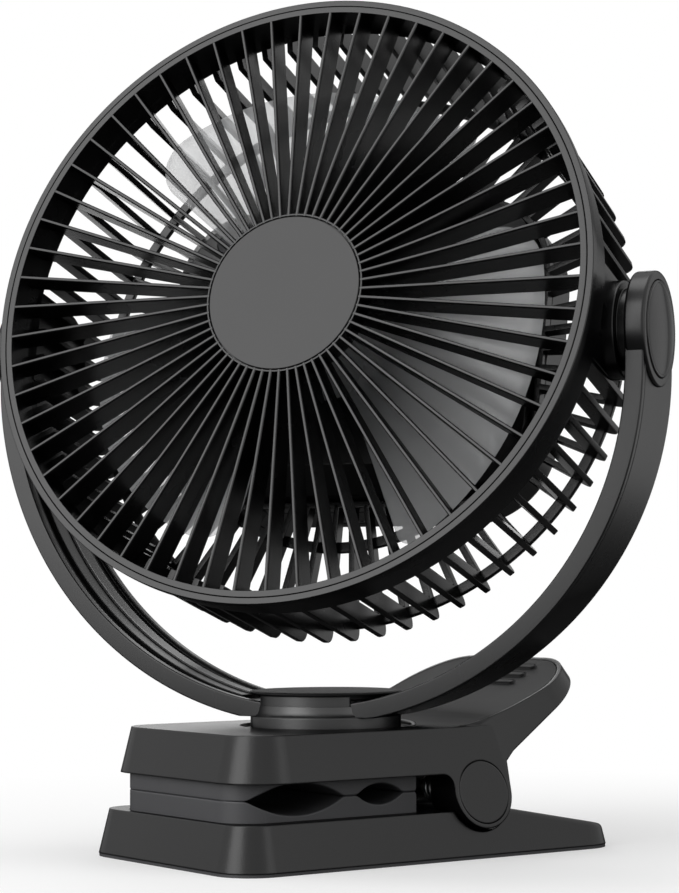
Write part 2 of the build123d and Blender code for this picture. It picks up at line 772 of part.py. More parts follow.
with BuildPart() as yoke:
    add(half_ring(front.offset(-yoke_width / 2), yoke_radius, yoke_inner))
    extrude(amount=yoke_width)
    with BuildSketch(front.offset(-yoke_width / 2)):
        with Locations((-arm_middle, -yoke_drop / 2), (arm_middle, -yoke_drop / 2)):
            Rectangle(yoke_thickness, yoke_drop)
    extrude(amount=yoke_width)
    for side in (-1, 1):
        # the arm's round end, the ear on its outer face and the bore through both
        with BuildSketch(sideways(front, yoke_inner, side)):
            Circle(yoke_width / 2)
        extrude(amount=yoke_thickness)
        with BuildSketch(sideways(front, ear_start, side)):
            Circle(ear_radius)
        extrude(amount=ear_face - ear_start)
        with BuildSketch(sideways(front, ear_face - ear_recess, side)):
            Circle(pivot_cap_radius + nest_gap)
        extrude(amount=ear_recess, mode=Mode.SUBTRACT)
        with BuildSketch(sideways(front, pivot_screw_seat, side)):
            Circle(pivot_screw[1] + nest_gap)
        extrude(amount=ear_face - pivot_screw_seat, mode=Mode.SUBTRACT)
        with BuildSketch(sideways(front, yoke_inner, side)):
            Circle(pivot_screw[0] + shaft_gap)
        extrude(amount=yoke_thickness, mode=Mode.SUBTRACT)
        # channel along the inner face for the cover strip
        add(ring_piece(front.offset(-channel_width / 2), channel_radius,
                       yoke_inner - channel_depth, 270 + side * (strip_start - 1),
                       270 + side * (strip_end + 1)))
        extrude(amount=channel_width, mode=Mode.SUBTRACT)
    # thin seam along the outer face, near the front edge
    add(half_ring(front.offset(groove_face - seam_size), yoke_radius + seam_size,
                  yoke_radius - seam_size))
    extrude(amount=seam_size, mode=Mode.SUBTRACT)
    # flat saddle on the hub's floor, and its screw holes
    with BuildSketch(level(0)):
        Rectangle(2 * hub_cap_radius, 2 * hub_radius)
    extrude(amount=hub_floor_top, mode=Mode.SUBTRACT)
    with BuildSketch(level(hub_floor_top)):
        with Locations(*saddle_places):
            Circle(saddle_screw[0] + shaft_gap)
    extrude(amount=yoke_thickness, mode=Mode.SUBTRACT)
    with BuildSketch(level(saddle_screw_seat)):
        with Locations(*saddle_places):
            Circle(saddle_screw[1] + nest_gap)
    extrude(amount=yoke_thickness, mode=Mode.SUBTRACT)
yoke.part.label = "yoke"
yoke.part.locate(yoke_frame.location)
export_step(yoke.part, "parts/yoke.step")

for side, name in ((-1, "yoke_cover_left"), (1, "yoke_cover_right")):
    with BuildPart() as yoke_cover:
        for half, thickness in ((strip_width / 2, strip_thickness),
                                (strip_rib[0] / 2, strip_thickness + strip_rib[1])):
            add(ring_piece(front.offset(-half), channel_radius, channel_radius - thickness,
                           270 + side * strip_start, 270 + side * strip_end))
            extrude(amount=2 * half)
    yoke_cover.part.label = name
    yoke_cover.part.locate(yoke_frame.location)
    export_step(yoke_cover.part, f"parts/{name}.step")

with BuildPart() as pivot_screws:
    for side in (-1, 1):
        with BuildSketch(sideways(front, pivot_screw_tip, side)):
            Circle(pivot_screw[0])
        extrude(amount=pivot_screw_seat - pivot_screw_tip)
        with BuildSketch(sideways(front, pivot_screw_seat, side)):
            Circle(pivot_screw[1])
        extrude(amount=pivot_screw[2])
pivot_screws.part.label = "pivot_screws"
pivot_screws.part.locate(yoke_frame.location)
export_step(pivot_screws.part, "parts/pivot_screws.step")

for side, name in ((-1, "pivot_cap_left"), (1, "pivot_cap_right")):
    with BuildPart() as pivot_cap:
        with BuildSketch(sideways(front, ear_face - ear_recess, side)):
            Circle(pivot_cap_radius)
        extrude(amount=ear_recess + pivot_cap_proud)
        fillet(pivot_cap.edges().sort_by_distance((0, 0, 0))[-1], pivot_cap_edge)
    pivot_cap.part.label = name
    pivot_cap.part.locate(yoke_frame.location)
    export_step(pivot_cap.part, f"parts/{name}.step")

# ---------------------------------------------------------------- front grille
rib_inner = grille_hub - (grille_hub - disc_radius) / 2
rib_outer = grille_lip + (grille_outer - grille_lip) / 2

with BuildPart() as front_grille:
    add(tube(front, grille_outer, grille_lip, 0, grille_depth))
    add(tube(front, grille_hub, disc_radius + shaft_gap, 0, grille_hub_depth))
    add(rod(front, grille_hub, disc_thickness, 2 * disc_thickness))
    with BuildSketch(front.offset(-rib_depth)):
        with PolarLocations((rib_inner + rib_outer) / 2, rib_count):
            Rectangle(rib_outer - rib_inner, rib_thickness)
    extrude(amount=rib_depth)
front_grille.part.label = "front_grille"
front_grille.part.locate(head.location)
export_step(front_grille.part, "parts/front_grille.step")

with BuildPart() as centre_disc:
    add(rod(front, disc_radius, 0, disc_thickness))
    chamfer(centre_disc.edges().group_by(Axis.Z)[-1], disc_edge)
centre_disc.part.label = "centre_disc"
centre_disc.part.locate(head.location)
export_step(centre_disc.part, "parts/centre_disc.step")


# ---------------------------------------------------------------- rear cage
def housing_outline(plane, half, corner, grow=0.0):
    """Rounded rectangle of the housing on a plane, grown all round."""
    with BuildSketch(plane) as outline:
        RectangleRounded(2 * (half[0] + grow), 2 * (half[1] + grow), corner + grow)
    return outline.sketch


arm_inner = housing_half[1] - 2 * slat_thickness
band_overlap = (band_rear - grille_depth) / 2

with BuildPart() as slat:
    # one plate: a leg behind the band, a rounded corner, and an arm towards the housing
    with BuildSketch(Plane.XZ):
        with BuildLine():
            Polyline(
                (arm_inner, -cage_rear),
                (slat_tip_radius, -cage_rear),
                (band_outer - band_overlap / 4, -band_rear + band_overlap),
                (band_outer - slat_radial, -band_rear + band_overlap),
                (slat_tip_radius - slat_radial, -cage_rear + arm_depth),
                (arm_inner, -cage_rear + arm_depth),
                close=True,
            )
        make_face()
    extrude(amount=slat_thickness / 2, both=True)
    fillet(slat.edges().filter_by(Axis.Y).sort_by_distance((slat_tip_radius, 0, -cage_rear))[0],
           slat_corner)

with BuildPart() as pivot_tab:
    # plate beside the band that carries the pivot boss
    for side in (-1, 1):
        pivot_side = sideways(trunnion, tab_inner, side)
        with BuildSketch(pivot_side):
            Circle(tab_half_width)
            with Locations((-side * (pivot_setback - band_rear + band_overlap) / 2, 0)):
                Rectangle(pivot_setback - band_rear + band_overlap, 2 * tab_half_width)
        extrude(amount=band_outer - tab_inner)
    add(rod(front, band_outer, 0, cage_rear), mode=Mode.INTERSECT)

with BuildPart() as slat_ring:
    with PolarLocations(0, slat_count, start_angle=slat_phase):
        add(slat.part)

with BuildPart() as rear_cage:
    add(slat_ring.part)
    add(tube(front, band_outer, band_inner, grille_depth, band_rear))
    add(tube(front, band_outer, grille_outer + nest_gap, collar_depth, grille_depth))
    add(tube(front, collar_outer, grille_outer + nest_gap, 0, collar_depth))
    for radius in hoop_radii:
        add(tube(front, radius + hoop_width / 2, radius - hoop_width / 2, cage_rear - hoop_depth,
                 cage_rear))
    add(pivot_tab.part)
    for side in (-1, 1):
        with BuildSketch(sideways(trunnion, tab_inner, side)):
            Circle(tab_half_width)
        extrude(amount=boss_step - tab_inner)
        with BuildSketch(sideways(trunnion, boss_step, side)):
            Circle(boss_radius)
        extrude(amount=boss_end - boss_step)
    # flange that the housing clamps, and the room for the housing in it
    add(housing_outline(front.offset(-cage_rear), housing_half, housing_corner,
                        nest_gap + flange_width))
    extrude(amount=arm_depth)
    add(housing_outline(front.offset(-cage_rear), housing_half, housing_corner, nest_gap))
    extrude(amount=2 * arm_depth, mode=Mode.SUBTRACT)
    for side in (-1, 1):
        with BuildSketch(sideways(trunnion, band_inner - slat_radial, side)):
            Circle(pivot_screw[0] + shaft_gap)
        extrude(amount=boss_end, mode=Mode.SUBTRACT)
rear_cage.part.label = "rear_cage"
rear_cage.part.locate(head.location)
export_step(rear_cage.part, "parts/rear_cage.step")


# ---------------------------------------------------------------- housing behind the fan
def four_corners(place):
    """The four corners of a centred rectangle."""
    return [(x * place[0], y * place[1]) for x in (-1, 1) for y in (-1, 1)]


screw_places = four_corners(housing_screw_place)
motor_screw_places = [(motor_screw_circle * cos(radians(a)), motor_screw_circle * sin(radians(a)))
                      for a in (90, 210, 330)]
front_inside = housing_front + housing_wall
motor_post_end = motor_screw_tip + mount_flange / 3

with BuildPart() as rear_housing:
    add(housing_outline(front.offset(-housing_front), plateau_half, plateau_corner))
    add(housing_outline(front.offset(-housing_shoulder), housing_half, housing_corner))
    loft(ruled=True)
    add(housing_outline(front.offset(-cage_rear), housing_half, housing_corner))
    extrude(amount=cage_rear - housing_shoulder)
    add(housing_outline(front.offset(-front_inside), plateau_half, plateau_corner, -housing_wall))
    add(housing_outline(front.offset(-housing_shoulder), housing_half, housing_corner,
                        -housing_wall))
    loft(ruled=True, mode=Mode.SUBTRACT)
    add(housing_outline(front.offset(-cage_rear), housing_half, housing_corner, -housing_wall))
    extrude(amount=cage_rear - housing_shoulder, mode=Mode.SUBTRACT)
    # posts for the cover's screws, the board and the motor
    add(rod(front, housing_post_radius, front_inside - 1, post_split, screw_places))
    add(rod(front, board_post_radius, front_inside - 1, board_place, four_corners(board_post)))
    add(rod(front, board_post_radius, front_inside - 1, motor_post_end, motor_screw_places))
    add(rod(front, housing_screw[0] + shaft_gap, housing_front, post_split, screw_places),
        mode=Mode.SUBTRACT)
    add(rod(front, housing_screw[1] + nest_gap, housing_front,
            housing_front + housing_screw[2], screw_places), mode=Mode.SUBTRACT)
    add(rod(front, motor_screw[0] + shaft_gap, housing_front,
            motor_screw_tip + nest_gap, motor_screw_places), mode=Mode.SUBTRACT)
    add(rod(front, mount_tube_radius, housing_front, front_inside), mode=Mode.SUBTRACT)
rear_housing.part.label = "rear_housing"
rear_housing.part.locate(head.location)
export_step(rear_housing.part, "parts/rear_housing.step")

cover_grow = nest_gap + flange_width
cover_inside = cover_rear - housing_wall
lens_middle = (lens_places[0] + lens_places[-1]) / 2
port_face = housing_half[1] + cover_grow

with BuildPart() as housing_back:
    add(housing_outline(front.offset(-cover_rear), housing_half, housing_corner, cover_grow))
    extrude(amount=cover_rear - cage_rear)
    fillet(housing_back.faces().sort_by(Axis.Z)[0].edges(), cover_edge)
    add(housing_outline(front.offset(-cover_inside), housing_half, housing_corner,
                        cover_grow - housing_wall))
    extrude(amount=cover_inside - cage_rear, mode=Mode.SUBTRACT)
    # posts: the long ones meet the housing's, the short ones carry the control board
    add(rod(front, housing_post_radius, post_split, cover_inside + 1, screw_places))
    add(rod(front, housing_screw[0] + shaft_gap, post_split, housing_screw_tip + nest_gap,
            screw_places), mode=Mode.SUBTRACT)
    add(rod(front, button_flange_thickness, cover_inside - control_standoff, cover_inside + 1,
            [(-control_post_x, control_y), (control_post_x, control_y)]))
    # openings for the button, the battery lights and the charging inlet
    add(rod(front, button_radius + button_gap, cover_inside - 1, cover_rear,
            [(button_x, control_y)]), mode=Mode.SUBTRACT)
    add(rod(front, lens_radius + nest_gap, cover_inside - 1, cover_rear,
            [(x, control_y) for x in lens_places]), mode=Mode.SUBTRACT)
    with BuildSketch(Plane(origin=at(front, 0, -port_face, -port_z).origin, x_dir=(1, 0, 0),
                           z_dir=(0, -1, 0))):
        SlotOverall(port_size[0] + 2 * nest_gap, port_size[1] + 2 * nest_gap)
    extrude(amount=-2 * housing_wall, mode=Mode.SUBTRACT)
housing_back.part.label = "housing_back"
housing_back.part.locate(head.location)
export_step(housing_back.part, "parts/housing_back.step")

with BuildPart() as housing_screws:
    add(rod(front, housing_screw[1], housing_front, housing_front + housing_screw[2], screw_places))
    add(rod(front, housing_screw[0], housing_front + housing_screw[2], housing_screw_tip, screw_places))
housing_screws.part.label = "housing_screws"
housing_screws.part.locate(head.location)
export_step(housing_screws.part, "parts/housing_screws.step")

# ---------------------------------------------------------------- battery and electronics
cell_depth = cover_inside - tray_wall - seat_gap - cell_radius
cell_row = [(cell_pitch * (i - (cell_count - 1) / 2), cell_depth) for i in range(cell_count)]
tray_half = (cell_row[-1][0] + cell_radius + seat_gap + tray_wall,
             cell_length / 2 + seat_gap + tray_wall)

with BuildPart() as battery_cells:
    with BuildSketch(Plane(origin=at(front, 0, -cell_length / 2).origin, x_dir=(1, 0, 0),
                           z_dir=(0, 1, 0))):
        with Locations(*cell_row):
            Circle(cell_radius)
    extrude(amount=cell_length)
battery_cells.part.label = "battery_cells"
battery_cells.part.locate(head.location)
export_step(battery_cells.part, "parts/battery_cells.step")

with BuildPart() as battery_tray:
    with BuildSketch(front.offset(-cover_inside)):
        RectangleRounded(2 * tray_half[0], 2 * tray_half[1], tray_wall)
    extrude(amount=tray_height)
    with BuildSketch(front.offset(tray_wall - cover_inside)):
        Rectangle(2 * (tray_half[0] - tray_wall), 2 * (tray_half[1] - tray_wall))
    extrude(amount=tray_height, mode=Mode.SUBTRACT)
battery_tray.part.label = "battery_tray"
battery_tray.part.locate(head.location)
export_step(battery_tray.part, "parts/battery_tray.step")

with BuildPart() as circuit_board:
    board_rear = board_place + board_thickness
    with BuildSketch(front.offset(-board_rear)):
        Rectangle(2 * board_half[0], 2 * board_half[1])
    extrude(amount=board_thickness)
    with BuildSketch(front.offset(-board_rear)):
        Rectangle(2 * chip_half, 2 * chip_half)
    extrude(amount=-chip_height)
    add(rod(front, capacitor[2], board_rear, board_rear + capacitor[3], [capacitor[:2]]))
circuit_board.part.label = "circuit_board"
circuit_board.part.locate(head.location)
export_step(circuit_board.part, "parts/circuit_board.step")

control_rear = cover_inside - control_standoff

with BuildPart() as control_board:
    with BuildSketch(front.offset(-control_rear)):
        with Locations((0, control_y)):
            Rectangle(2 * control_half[0], 2 * control_half[1])
    extrude(amount=control_thickness)
    with BuildSketch(front.offset(-control_rear)):
        with Locations((button_x, control_y)):
            Rectangle(button_radius, button_radius)
    extrude(amount=-button_proud)
control_board.part.label = "control_board"
control_board.part.locate(head.location)
export_step(control_board.part, "parts/control_board.step")

flange_rear = cover_inside - seat_gap

with BuildPart() as power_button:
    button = at(front, button_x, control_y)
    add(rod(button, button_flange, flange_rear - button_flange_thickness, flange_rear))
    add(rod(button, button_radius, flange_rear, cover_rear + button_proud))
    fillet(power_button.edges().group_by(Axis.Z)[0], button_proud / 2)
power_button.part.label = "power_button"
power_button.part.locate(head.location)
export_step(power_button.part, "parts/power_button.step")

with BuildPart() as indicator_lens:
    with BuildSketch(front.offset(nest_gap - cover_inside)):
        with Locations((lens_middle, control_y)):
            Rectangle(lens_places[-1] - lens_places[0] + 3 * lens_radius, 3 * lens_radius)
    extrude(amount=lens_bar)
    add(rod(front, lens_radius, cover_inside - nest_gap, cover_rear, [(x, control_y) for x in lens_places]))
indicator_lens.part.label = "indicator_lens"
indicator_lens.part.locate(head.location)
export_step(indicator_lens.part, "parts/indicator_lens.step")

with BuildPart() as charge_port:
    with BuildSketch(Plane(origin=at(front, 0, nest_gap - port_face, -port_z).origin,
                           x_dir=(1, 0, 0), z_dir=(0, -1, 0))):
        SlotOverall(port_size[0], port_size[1])
    extrude(amount=-port_size[2])
    with BuildSketch(Plane(origin=at(front, 0, nest_gap - port_face, -port_z).origin,
                           x_dir=(1, 0, 0), z_dir=(0, -1, 0))):
        SlotOverall(port_size[0] - 2 * port_wall, port_size[1] - 2 * port_wall)
        Rectangle(port_size[0] - port_size[1], port_wall, mode=Mode.SUBTRACT)
    extrude(amount=port_wall - port_size[2], mode=Mode.SUBTRACT)
charge_port.part.label = "charge_port"
charge_port.part.locate(head.location)
export_step(charge_port.part, "parts/charge_port.step")

# ---------------------------------------------------------------- motor
mount_front = housing_front - mount_flange
rotor_outer = fan_hub_radius - fan_hub_wall - nest_gap
rotor_front = fan_hub_front + fan_hub_wall
magnet_outer = rotor_outer - rotor_wall
stator_outer = magnet_outer - magnet_thickness - air_gap
shaft_bore = shaft_radius + shaft_gap
shaft_end = bearing_places[1] + bearing_length * 0.75
seat_radius = bearing_radius + shaft_gap

with BuildPart() as motor_mount:
    add(rod(front, mount_flange_radius, mount_front, housing_front))
    add(rod(front, mount_tube_radius, mount_tube_front, mount_front))
    add(rod(front, shaft_radius + air_gap, mount_tube_front, housing_front), mode=Mode.SUBTRACT)
    add(rod(front, seat_radius, mount_tube_front, bearing_places[0] + bearing_length),
        mode=Mode.SUBTRACT)
    add(rod(front, seat_radius, bearing_places[1], housing_front), mode=Mode.SUBTRACT)
    add(rod(front, motor_screw[0] + shaft_gap, mount_front, housing_front, motor_screw_places),
        mode=Mode.SUBTRACT)
    add(rod(front, motor_screw[1] + nest_gap, mount_front, mount_front + motor_screw[2],
            motor_screw_places), mode=Mode.SUBTRACT)
motor_mount.part.label = "motor_mount"
motor_mount.part.locate(head.location)
export_step(motor_mount.part, "parts/motor_mount.step")

with BuildPart() as motor_bearings:
    for place in bearing_places:
        add(tube(front, bearing_radius, shaft_bore, place, place + bearing_length))
motor_bearings.part.label = "motor_bearings"
motor_bearings.part.locate(head.location)
export_step(motor_bearings.part, "parts/motor_bearings.step")

with BuildPart() as motor_screws:
    add(rod(front, motor_screw[1], mount_front, mount_front + motor_screw[2], motor_screw_places))
    add(rod(front, motor_screw[0], mount_front + motor_screw[2], motor_screw_tip, motor_screw_places))
motor_screws.part.label = "motor_screws"
motor_screws.part.locate(head.location)
export_step(motor_screws.part, "parts/motor_screws.step")

shoe_outer = sqrt(stator_outer ** 2 - (stator_shoe / 2) ** 2)
tooth_inner = stator_core - stator_rim

with BuildPart() as motor_stator:
    # wound teeth with flat shoes on a round core
    with BuildSketch(front.offset(-stator_rear)):
        Circle(stator_core)
        with PolarLocations((tooth_inner + shoe_outer) / 2, stator_teeth):
            Rectangle(shoe_outer - tooth_inner, stator_tooth_width)
        with PolarLocations(shoe_outer - stator_rim / 2, stator_teeth):
            Rectangle(stator_rim, stator_shoe)
        Circle(mount_tube_radius + shaft_gap, mode=Mode.SUBTRACT)
    extrude(amount=stator_rear - stator_front)
motor_stator.part.label = "motor_stator"
motor_stator.part.locate(head.location)
export_step(motor_stator.part, "parts/motor_stator.step")

with BuildPart() as motor_rotor:
    add(rod(front, rotor_outer, rotor_front, rotor_rear))
    add(rod(front, magnet_outer, rotor_front + rotor_wall, rotor_rear), mode=Mode.SUBTRACT)
    add(rod(front, shaft_bore, rotor_front, rotor_rear), mode=Mode.SUBTRACT)
motor_rotor.part.label = "motor_rotor"
motor_rotor.part.locate(head.location)
export_step(motor_rotor.part, "parts/motor_rotor.step")

with BuildPart() as rotor_magnets:
    add(tube(front, magnet_outer - shaft_gap, magnet_outer - magnet_thickness, stator_front,
             stator_rear))
rotor_magnets.part.label = "rotor_magnets"
rotor_magnets.part.locate(head.location)
export_step(rotor_magnets.part, "parts/rotor_magnets.step")

with BuildPart() as motor_shaft:
    add(rod(front, shaft_radius, fan_hub_front - 0.75 * nut_height, shaft_end))
motor_shaft.part.label = "motor_shaft"
motor_shaft.part.locate(head.location)
export_step(motor_shaft.part, "parts/motor_shaft.step")

# ---------------------------------------------------------------- fan blades
with BuildPart() as blade:
    # thin radial sections from the leading edge back to the trailing one
    for step in range(blade_sections):
        share = step / (blade_sections - 1)
        angle = radians(blade_lead - share * blade_span)
        depth = blade_front + share * blade_depth - blade_bow * sin(share * pi)
        section = Plane(origin=(0, 0, 0), x_dir=(cos(angle), sin(angle), 0),
                        z_dir=(-sin(angle), cos(angle), 0))
        with BuildSketch(section):
            with Locations(((fan_hub_radius + blade_tip) / 2, depth)):
                Rectangle(blade_tip - fan_hub_radius + 2 * fan_hub_wall, blade_thickness)
    loft()
    with BuildSketch(Plane.XY.offset(-2 * blade_depth)):
        with BuildLine():
            rim = CenterArc((0, 0), blade_tip, blade_lead - blade_span, blade_span)
            Line((0, 0), rim @ 0)
            Line(rim @ 1, (0, 0))
        plan = make_face()
        trail_corner = plan.vertices().sort_by_distance(rim @ 0)[0]
        fillet(trail_corner, blade_trail_corner)
        lead_corner = plan.vertices().sort_by_distance(rim @ 1)[0]
        fillet(lead_corner, blade_lead_corner)
    extrude(amount=2 * blade_depth, mode=Mode.INTERSECT)

with BuildPart() as blade_ring:
    with PolarLocations(0, blade_count):
        add(blade.part)

with BuildPart() as fan_blades:
    add(rod(front, fan_hub_radius, fan_hub_front, fan_hub_rear))
    fillet(fan_blades.edges().group_by(Axis.Z)[-1], fan_hub_edge)
    add(blade_ring.part)
    add(rod(front, fan_hub_radius - fan_hub_wall, rotor_front, fan_hub_rear), mode=Mode.SUBTRACT)
    add(rod(front, shaft_bore, fan_hub_front, rotor_front), mode=Mode.SUBTRACT)
fan_blades.part.label = "fan_blades"
fan_blades.part.locate(head.location)
export_step(fan_blades.part, "parts/fan_blades.step")

with BuildPart() as blade_nut:
    with BuildSketch(front.offset(-fan_hub_front)):
        RegularPolygon(nut_radius, 6)
        Circle(shaft_bore, mode=Mode.SUBTRACT)
    extrude(amount=nut_height)
blade_nut.part.label = "blade_nut"
blade_nut.part.locate(head.location)
export_step(blade_nut.part, "parts/blade_nut.step")
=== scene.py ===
import math

import bmesh
import bpy
import numpy as np
from mathutils import Matrix, Vector


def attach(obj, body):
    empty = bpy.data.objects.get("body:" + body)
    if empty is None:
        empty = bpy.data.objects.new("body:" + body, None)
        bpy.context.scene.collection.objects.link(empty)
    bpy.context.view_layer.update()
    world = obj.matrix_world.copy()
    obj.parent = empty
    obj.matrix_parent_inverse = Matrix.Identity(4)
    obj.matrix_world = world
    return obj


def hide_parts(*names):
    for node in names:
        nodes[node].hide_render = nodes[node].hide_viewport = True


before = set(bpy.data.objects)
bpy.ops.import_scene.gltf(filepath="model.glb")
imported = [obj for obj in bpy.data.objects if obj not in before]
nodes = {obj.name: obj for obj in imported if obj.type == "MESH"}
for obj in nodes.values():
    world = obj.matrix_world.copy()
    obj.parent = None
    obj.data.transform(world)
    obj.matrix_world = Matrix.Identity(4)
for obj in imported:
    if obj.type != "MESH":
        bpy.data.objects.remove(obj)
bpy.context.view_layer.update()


# ------------------------------------------------------------------ clamp jaws
# The clamp's two jaws and the hinge's end caps are hollow ABS mouldings, spark-eroded to a fine
# even grain that scatters highlights and keeps the black slightly grey. They stay the solids
# that they are, and take only their finish here.
MM = 0.001
PATCHES = 38.0               # slow patches of colour and roughness per metre
TINTS = (0.92, 1.05)         # darkest and lightest patch, as shares of the colour
TINT_RANGE = (0.3, 0.7)      # values of the slow noise between which the colour shifts
GRAZING = (0.3, 0.77)        # values of Facing between which a reflection fades
GRAZING_LEVEL = 0.006        # specular level that is left at a grazing view
EDGE_SAMPLES = 8


def linear(code):
    """An sRGB colour written in hex, as linear red, green, blue and a full alpha."""
    parts = np.array([int(code[i:i + 2], 16) for i in (0, 2, 4)]) / 255
    low, high = parts / 12.92, ((parts + 0.055) / 1.055) ** 2.4
    return (*np.where(parts <= 0.04045, low, high).tolist(), 1.0)


def add_node(tree, kind, links=(), **settings):
    """Adds one shader node: settings by attribute or socket, links as (socket, node, output)."""
    node = tree.nodes.new(kind)
    for name, value in settings.items():
        if hasattr(node, name):
            setattr(node, name, value)
        else:
            node.inputs[name.replace("_", " ")].default_value = value
    for socket, source, output in links:
        tree.links.new(source.outputs[output], node.inputs[socket])
    return node


def blank(name, slot):
    """A new material that carries the record's name for its finish: the material, its node
    tree, its Principled shader and a node of Object coordinates."""
    made = bpy.data.materials.new(name)
    made["slot"] = slot
    made.use_nodes = True
    tree = made.node_tree
    return made, tree, tree.nodes["Principled BSDF"], add_node(tree, "ShaderNodeTexCoord")


def moulding(name, slot, colour, rough, grain, height, specular=0.5, wear=0.04, edge=0.0):
    """Moulded plastic or rubber, with lengths in mm. Fine noise of the grain's size raises a
    bump of a height. Slow noise shifts the colour and moves the roughness by up to the wear.
    The specular level falls along a ramp from facing to grazing, where the grain shades
    itself. With an edge, normals are averaged over that width, so sharp edges catch light."""
    made, tree, shader, place = blank(name, slot)
    patches = add_node(tree, "ShaderNodeTexNoise", [("Vector", place, "Object")], Scale=PATCHES,
                       Detail=3.0)
    tint = add_node(tree, "ShaderNodeValToRGB", [("Fac", patches, "Fac")])
    for stop, position, share in zip(tint.color_ramp.elements, TINT_RANGE, TINTS):
        stop.position = position
        stop.color = (*(share * np.array(linear(colour)[:3])).clip(0, 1).tolist(), 1.0)
    tree.links.new(tint.outputs["Color"], shader.inputs["Base Color"])
    drift = add_node(tree, "ShaderNodeMapRange", [("Value", patches, "Fac")],
                     To_Min=rough - wear, To_Max=rough + wear)
    tree.links.new(drift.outputs["Result"], shader.inputs["Roughness"])
    shader.inputs["Specular IOR Level"].default_value = specular
    facing = add_node(tree, "ShaderNodeLayerWeight")
    fading = add_node(tree, "ShaderNodeMapRange", [("Value", facing, "Facing")],
                      From_Min=GRAZING[0], From_Max=GRAZING[1], To_Min=specular,
                      To_Max=GRAZING_LEVEL)
    tree.links.new(fading.outputs["Result"], shader.inputs["Specular IOR Level"])
    pits = add_node(tree, "ShaderNodeTexNoise", [("Vector", place, "Object")],
                    Scale=1 / (grain * MM), Detail=2.0)
    bump = add_node(tree, "ShaderNodeBump", [("Height", pits, "Fac")], Strength=1.0,
                    Distance=height * MM)
    tree.links.new(bump.outputs["Normal"], shader.inputs["Normal"])
    if edge:
        round_edge = add_node(tree, "ShaderNodeBevel", samples=EDGE_SAMPLES, Radius=edge * MM)
        tree.links.new(round_edge.outputs["Normal"], bump.inputs["Normal"])
    return made


def dress(material, *names):
    """Gives CAD nodes a finish."""
    for name in names:
        nodes[name].data.materials.clear()
        nodes[name].data.materials.append(material)


grained_abs = moulding("grained_abs", "shell", "0a0a0b", rough=0.31, grain=0.45, height=0.03,
                       specular=0.4, edge=0.8)
dress(grained_abs, "lower_jaw", "upper_jaw", "hinge_cap_left", "hinge_cap_right")

# ------------------------------------------------------------------ rubber pads
# Two thick pads of soft black rubber are set into the jaws and hollowed to grip tubes, a
# thinner one with finger bars covers the lever's end, and a thin sole keeps the base from
# sliding. Rubber is duller than the mouldings round it.
MERGE = 2e-6                 # metres: points this near are one
SHARP = 35                   # degrees: edges sharper than this stay sharp
LEVER_PAD_EDGE = 0.5
PAD_HALF, PAD_FRONT, PAD_REAR, PAD_CORNER, PAD_EDGE = 36.4, -58.0, 9.4, 12.0, 0.55
HOLLOWS = ((-36.2, 34.6, 4.95), (-4.8, 17.6, 3.25))      # middle, width and half height
PAD_CUTS = 271               # cross sections along a pad
BLEND_CUTS = 6               # and how many on each side smooth a hollow's rim


def shade(source, mesh, sharp=SHARP, flat=0.0):
    """Writes a source mesh into a mesh with its doubles merged, its faces that turn less than
    a flat angle joined, every face turned outwards, and smooth shading up to a sharp angle."""
    work = bmesh.new()
    work.from_mesh(source)
    bmesh.ops.remove_doubles(work, verts=work.verts, dist=MERGE)
    if flat:
        bmesh.ops.dissolve_limit(work, angle_limit=math.radians(flat), verts=work.verts,
                                 edges=work.edges)
    bmesh.ops.recalc_face_normals(work, faces=work.faces)
    work.to_mesh(mesh)
    work.free()
    mesh.shade_smooth()
    mesh.set_sharp_from_angle(angle=math.radians(sharp))


def show(mesh, material, body, replaces=(), rounding=0.0):
    """Puts a mesh in the scene as a piece that rides a body and stands for CAD nodes. Its sharp
    edges are rounded over a width in mm, and each normal is the mean of the faces that meet
    there, weighted by their area, so that flat faces stay flat."""
    piece = bpy.data.objects.new(mesh.name, mesh)
    bpy.context.scene.collection.objects.link(piece)
    mesh.materials.append(material)
    if rounding:
        edges = piece.modifiers.new("rounding", "BEVEL")
        edges.width, edges.segments, edges.limit_method = rounding * MM, 2, "ANGLE"
        edges.use_clamp_overlap = False
        edges.angle_limit = math.radians(SHARP)
    piece.modifiers.new("flat_faces", "WEIGHTED_NORMAL").keep_sharp = True
    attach(piece, body)
    if replaces:
        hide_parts(*replaces)


def skin(name, grids, material, body, replaces=(), ring=False, loop=True, caps=False,
         sharp=SHARP):
    """One piece from grids of points in mm: rows run along u, columns round v. Neighbouring
    points are joined by quads; ring closes u, loop closes v, caps closes the first and last
    row with one face each."""
    all_points, all_faces, first = [], [], 0
    for grid in grids:
        rows, columns = grid.shape[:2]
        index = first + np.arange(rows * columns).reshape(rows, columns)
        here = index if ring else index[:-1]
        after = np.roll(index, -1, axis=0) if ring else index[1:]
        if loop:
            quads = np.stack([here, after, np.roll(after, -1, 1), np.roll(here, -1, 1)], -1)
        else:
            quads = np.stack([here[:, :-1], after[:, :-1], after[:, 1:], here[:, 1:]], -1)
        all_faces += quads.reshape(-1, 4).tolist()
        if caps:
            all_faces += [index[0].tolist(), index[-1][::-1].tolist()]
        all_points.append(grid.reshape(-1, 3))
        first += rows * columns
    mesh = bpy.data.meshes.new(name)
    mesh.from_pydata(np.concatenate(all_points) * MM, [], all_faces)
    shade(mesh, mesh, sharp)
    show(mesh, material, body, replaces)


